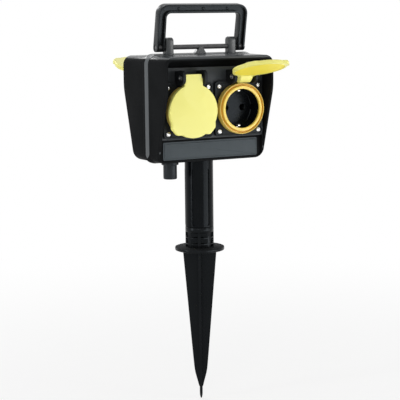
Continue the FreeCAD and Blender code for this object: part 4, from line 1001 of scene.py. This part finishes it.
for name, x, rear, is_open in stations:
    cover = bored(LID_RADIUS, -LID_FRONT, -LID_BACK, at=(0, SOCKET_Z), steps=160)
    feet = slab(
        [
            (-18.0, FEET_LOW), (18.0, FEET_LOW), (FEET_HALF, FEET_LOW + 6.3), (FEET_HALF, FEET_HIGH),
            (-FEET_HALF, FEET_HIGH), (-FEET_HALF, FEET_LOW + 6.3),
        ],
        -LID_FRONT, -LID_BACK, radius=[2.5, 2.5, 2.5, 0, 0, 2.5],
    )
    neck = slab(
        [
            (-NECK_HALF, SOCKET_Z + 13.0), (NECK_HALF, SOCKET_Z + 13.0), (NECK_HALF, NECK_STEP),
            (TAB_HALF, NECK_STEP + 0.8), (TAB_HALF, NECK_TOP), (-TAB_HALF, NECK_TOP), (-TAB_HALF, NECK_STEP + 0.8),
            (-NECK_HALF, NECK_STEP),
        ],
        -LID_FRONT, -LID_BACK, radius=[0, 0, 0.5, 0, 1.2, 1.2, 0, 0.5],
    )
    cover = worked(cover, gathered(feet, neck), "UNION")
    outer = [e for e in cover.edges if max(v.co.y for v in e.verts) < -(LID_FRONT - 0.01) * mm]
    brim = [e for e in outer if e.calc_face_angle(0) > 0.6]
    bmesh.ops.bevel(cover, geom=brim, offset=0.8 * mm, segments=4, profile=0.5, affect="EDGES", material=-1)
    cover = worked(cover, knuckle(), "UNION")
    hollow = bored(SKIRT_RADIUS, -LID_FRONT + 2.0, -38.0, at=(0, SOCKET_Z), steps=128)
    pin_hole = bored(1.3, -20.0, 20.0, at=(-HINGE_Y, HINGE_Z), axis="X", steps=32)
    spring_hole = bored(2.1, -20.0, -1.85, at=(-HINGE_Y, HINGE_Z), axis="X", steps=32)
    cover = worked(cover, gathered(hollow, spring_hole), "DIFFERENCE")
    cover = worked(cover, pin_hole, "DIFFERENCE")
    pad = placed(turned(PAD_PROFILE, axis=(0, -1, 0)), move=(0, 0, SOCKET_Z))
    if is_open:
        swung(cover)
        swung(pad)
    lid = "lid_" + name
    cover, pad = at_station(cover, x, rear), at_station(pad, x, rear)
    finished(name + "_cover", cover, lid_yellow, "lid_yellow", lid, lid, edge=0.25, sharp=40.0, segments=2)
    finished(name + "_sealing_pad", pad, pad_yellow, "pad_yellow", lid, "lid_gasket_" + name)


# ---------------------------------------------------------------------------
# Hinge pins and springs: a bright drawn pin with dimpled heads through each pair
# of lugs, and on it, inside the knuckle, a torsion spring pegged in the left lug.
# ---------------------------------------------------------------------------
PIN_PROFILE = [
    (0, -13.4), (0.7, -13.45), (1.1, -13.95), (2.3, -13.95), (2.6, -13.7), (2.6, -13.05), (1.2, -13.05),
    (1.2, 13.05), (2.6, 13.05), (2.6, 13.7), (2.3, 13.95), (1.1, 13.95), (0.7, 13.45), (0, 13.4),
]
COIL_TURNS = 9
COIL_STEPS = 24 * COIL_TURNS
COIL_START = -9.6
COIL_LENGTH = 6.8
COIL_RADIUS = 1.65
WIRE_RADIUS = 0.3

drawn_steel = plated("drawn_steel", (0.62, 0.62, 0.62), (0.38, 0.38, 0.385), 0.3)
for name, x, rear, is_open in stations:
    pin = placed(turned(PIN_PROFILE, steps=40, axis=(1, 0, 0)), move=(0, -HINGE_Y, HINGE_Z))
    pin = at_station(pin, x, rear)
    finished(name + "_pin", pin, drawn_steel, "pin_steel", "root", "hinge_pin_" + name, sharp=40.0)
    coil = bmesh.new()
    wire_end = Matrix.Translation((COIL_START * mm, -COIL_RADIUS * mm, 0)) @ Matrix.Rotation(pi / 2, 4, "X")
    bmesh.ops.create_circle(coil, cap_ends=True, segments=12, radius=WIRE_RADIUS * mm, matrix=wire_end)
    bmesh.ops.spin(
        coil, geom=coil.verts[:] + coil.edges[:] + coil.faces[:], cent=(0, 0, 0), axis=(1, 0, 0),
        dvec=(COIL_LENGTH * mm / COIL_STEPS, 0, 0), angle=2 * pi * COIL_TURNS, steps=COIL_STEPS,
    )
    bmesh.ops.recalc_face_normals(coil, faces=coil.faces)
    placed(coil, move=(0, -HINGE_Y, HINGE_Z))
    peg = bored(WIRE_RADIUS, -12.0, COIL_START, at=(-HINGE_Y, HINGE_Z + COIL_RADIUS), axis="X", steps=12)
    spring = at_station(gathered(coil, peg), x, rear)
    finished(name + "_torsion_spring", spring, drawn_steel, "pin_steel", "root", "lid_spring_" + name, sharp=60.0)


# ---------------------------------------------------------------------------
# Handle axle: a black coated steel rod through both ears and over the saddle.
# ---------------------------------------------------------------------------
AXLE_HALF = 48.8
AXLE_RADIUS = 2.4

coated_steel = plated("coated_steel", (0.10, 0.10, 0.105), (0.07, 0.07, 0.073), 0.42)
coated_steel.node_tree.nodes["Principled BSDF"].inputs["Metallic"].default_value = 0.0
axle = turned(
    [
        (0, -AXLE_HALF), (AXLE_RADIUS - 0.4, -AXLE_HALF), (AXLE_RADIUS, -AXLE_HALF + 0.4),
        (AXLE_RADIUS, AXLE_HALF - 0.4), (AXLE_RADIUS - 0.4, AXLE_HALF), (0, AXLE_HALF),
    ],
    steps=48, axis=(1, 0, 0),
)
finished("axle_rod", placed(axle, move=(0, *PIVOT)), coated_steel, "axle_black", "root", "handle_axle")


# ---------------------------------------------------------------------------
# Carrying handle: a folding bow of black plastic, channelled front and back to
# keep its walls thin, with ejector pips along the channel of the grip.
# ---------------------------------------------------------------------------
HANDLE_TOP = 246.0
HANDLE_FOOT = 199.3
HANDLE_HALF = 49.2
GRIP_OPENING = 40.8
HANDLE_THICKNESS = 9.0
HANDLE_LEAN = 10.0
CHANNELS = ((-12.0, -5.8), (-3.2, 3.0))
PIP_PROFILE = [(0, 5.5), (1.5, 5.5), (1.5, 6.1), (1.2, 6.35), (0, 6.35)]

handle_black = black_moulding(
    "handle_black", (0.0085, 0.0093, 0.010), (0.0145, 0.0158, 0.017), 2300.0, 0.28, gloss=0.2
)
back = -HANDLE_THICKNESS
outer = slab(upright(HANDLE_HALF, HANDLE_FOOT, HANDLE_TOP), back, 0.0, radius=[0, 0, 9.5, 9.5], segments=10)
inner = slab(
    upright(GRIP_OPENING, HANDLE_FOOT - 9, HANDLE_TOP - 8.4), -12.0, 3.0, radius=[0, 0, 4.5, 4.5], segments=10
)
bow = worked(outer, inner, "DIFFERENCE")
feet = slab(
    [(back, HANDLE_FOOT), (0.0, HANDLE_FOOT), (0.0, HANDLE_TOP + 1), (back, HANDLE_TOP + 1)],
    -51.0, 51.0, radius=[4.3, 4.3, 0, 0], plane="YZ",
)
bow = worked(bow, feet, "INTERSECT")
flat = [e for e in bow.edges if abs(e.verts[0].co.y - e.verts[1].co.y) < 1e-6 and max(v.co.z for v in e.verts) > 0.21]
rims = [e for e in flat if e.verts[0].co.y < (back + 0.1) * mm or e.verts[0].co.y > -0.1 * mm]
rims = [e for e in rims if e.calc_face_angle(0) > 0.6]
bmesh.ops.bevel(bow, geom=rims, offset=0.8 * mm, segments=3, profile=0.5, affect="EDGES", material=-1)
for low, high in CHANNELS:
    channel = slab(upright(47.3, 200.2, HANDLE_TOP - 1.9), low, high, radius=[0.5, 0.5, 7.6, 7.6], segments=10)
    core = slab(upright(42.7, 190.0, HANDLE_TOP - 6.5), low - 1, high + 1, radius=[0, 0, 6.4, 6.4], segments=10)
    bow = worked(bow, worked(channel, core, "DIFFERENCE"), "DIFFERENCE")
bow = worked(bow, bored(2.5, -60.0, 60.0, at=PIVOT, axis="X", steps=32), "DIFFERENCE")
pips = []
for px in (-27.0, 0.0, 27.0):
    pip = turned(PIP_PROFILE, steps=32, axis=(0, -1, 0))
    pips.append(placed(pip, move=(px, 0, HANDLE_TOP - 4.2)))
bow = worked(bow, gathered(*pips), "UNION")
placed(bow, turn=HANDLE_LEAN, axis="X", about=(0, *PIVOT))
finished("handle_bow", bow, handle_black, "handle_black", "handle", "handle", edge=0.2, sharp=45.0, segments=2)


# ---------------------------------------------------------------------------
# Inner fittings and seals, which close inside the housing: they keep their CAD
# forms and get the finish of what they are moulded or cut from.
# ---------------------------------------------------------------------------
seal_rubber = black_moulding("seal_rubber", (0.012, 0.012, 0.012), (0.02, 0.02, 0.02), 1200.0, 0.7)
polyamide = coloured_moulding("polyamide", (0.72, 0.71, 0.66), (0.64, 0.62, 0.56), 0.5, 1100.0)
dressed = {
    "housing_seal": seal_rubber, "housing_screws": nickel, "cord_grip": polyamide, "cord_grip_screws": nickel,
    "terminal_block": polyamide,
}
for name, x, rear, is_open in stations:
    dressed["flange_gasket_" + name] = seal_rubber
    dressed["contacts_" + name] = plated_brass
for node, material in dressed.items():
    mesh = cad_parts[node].data
    mesh.materials.clear()
    mesh.materials.append(material)
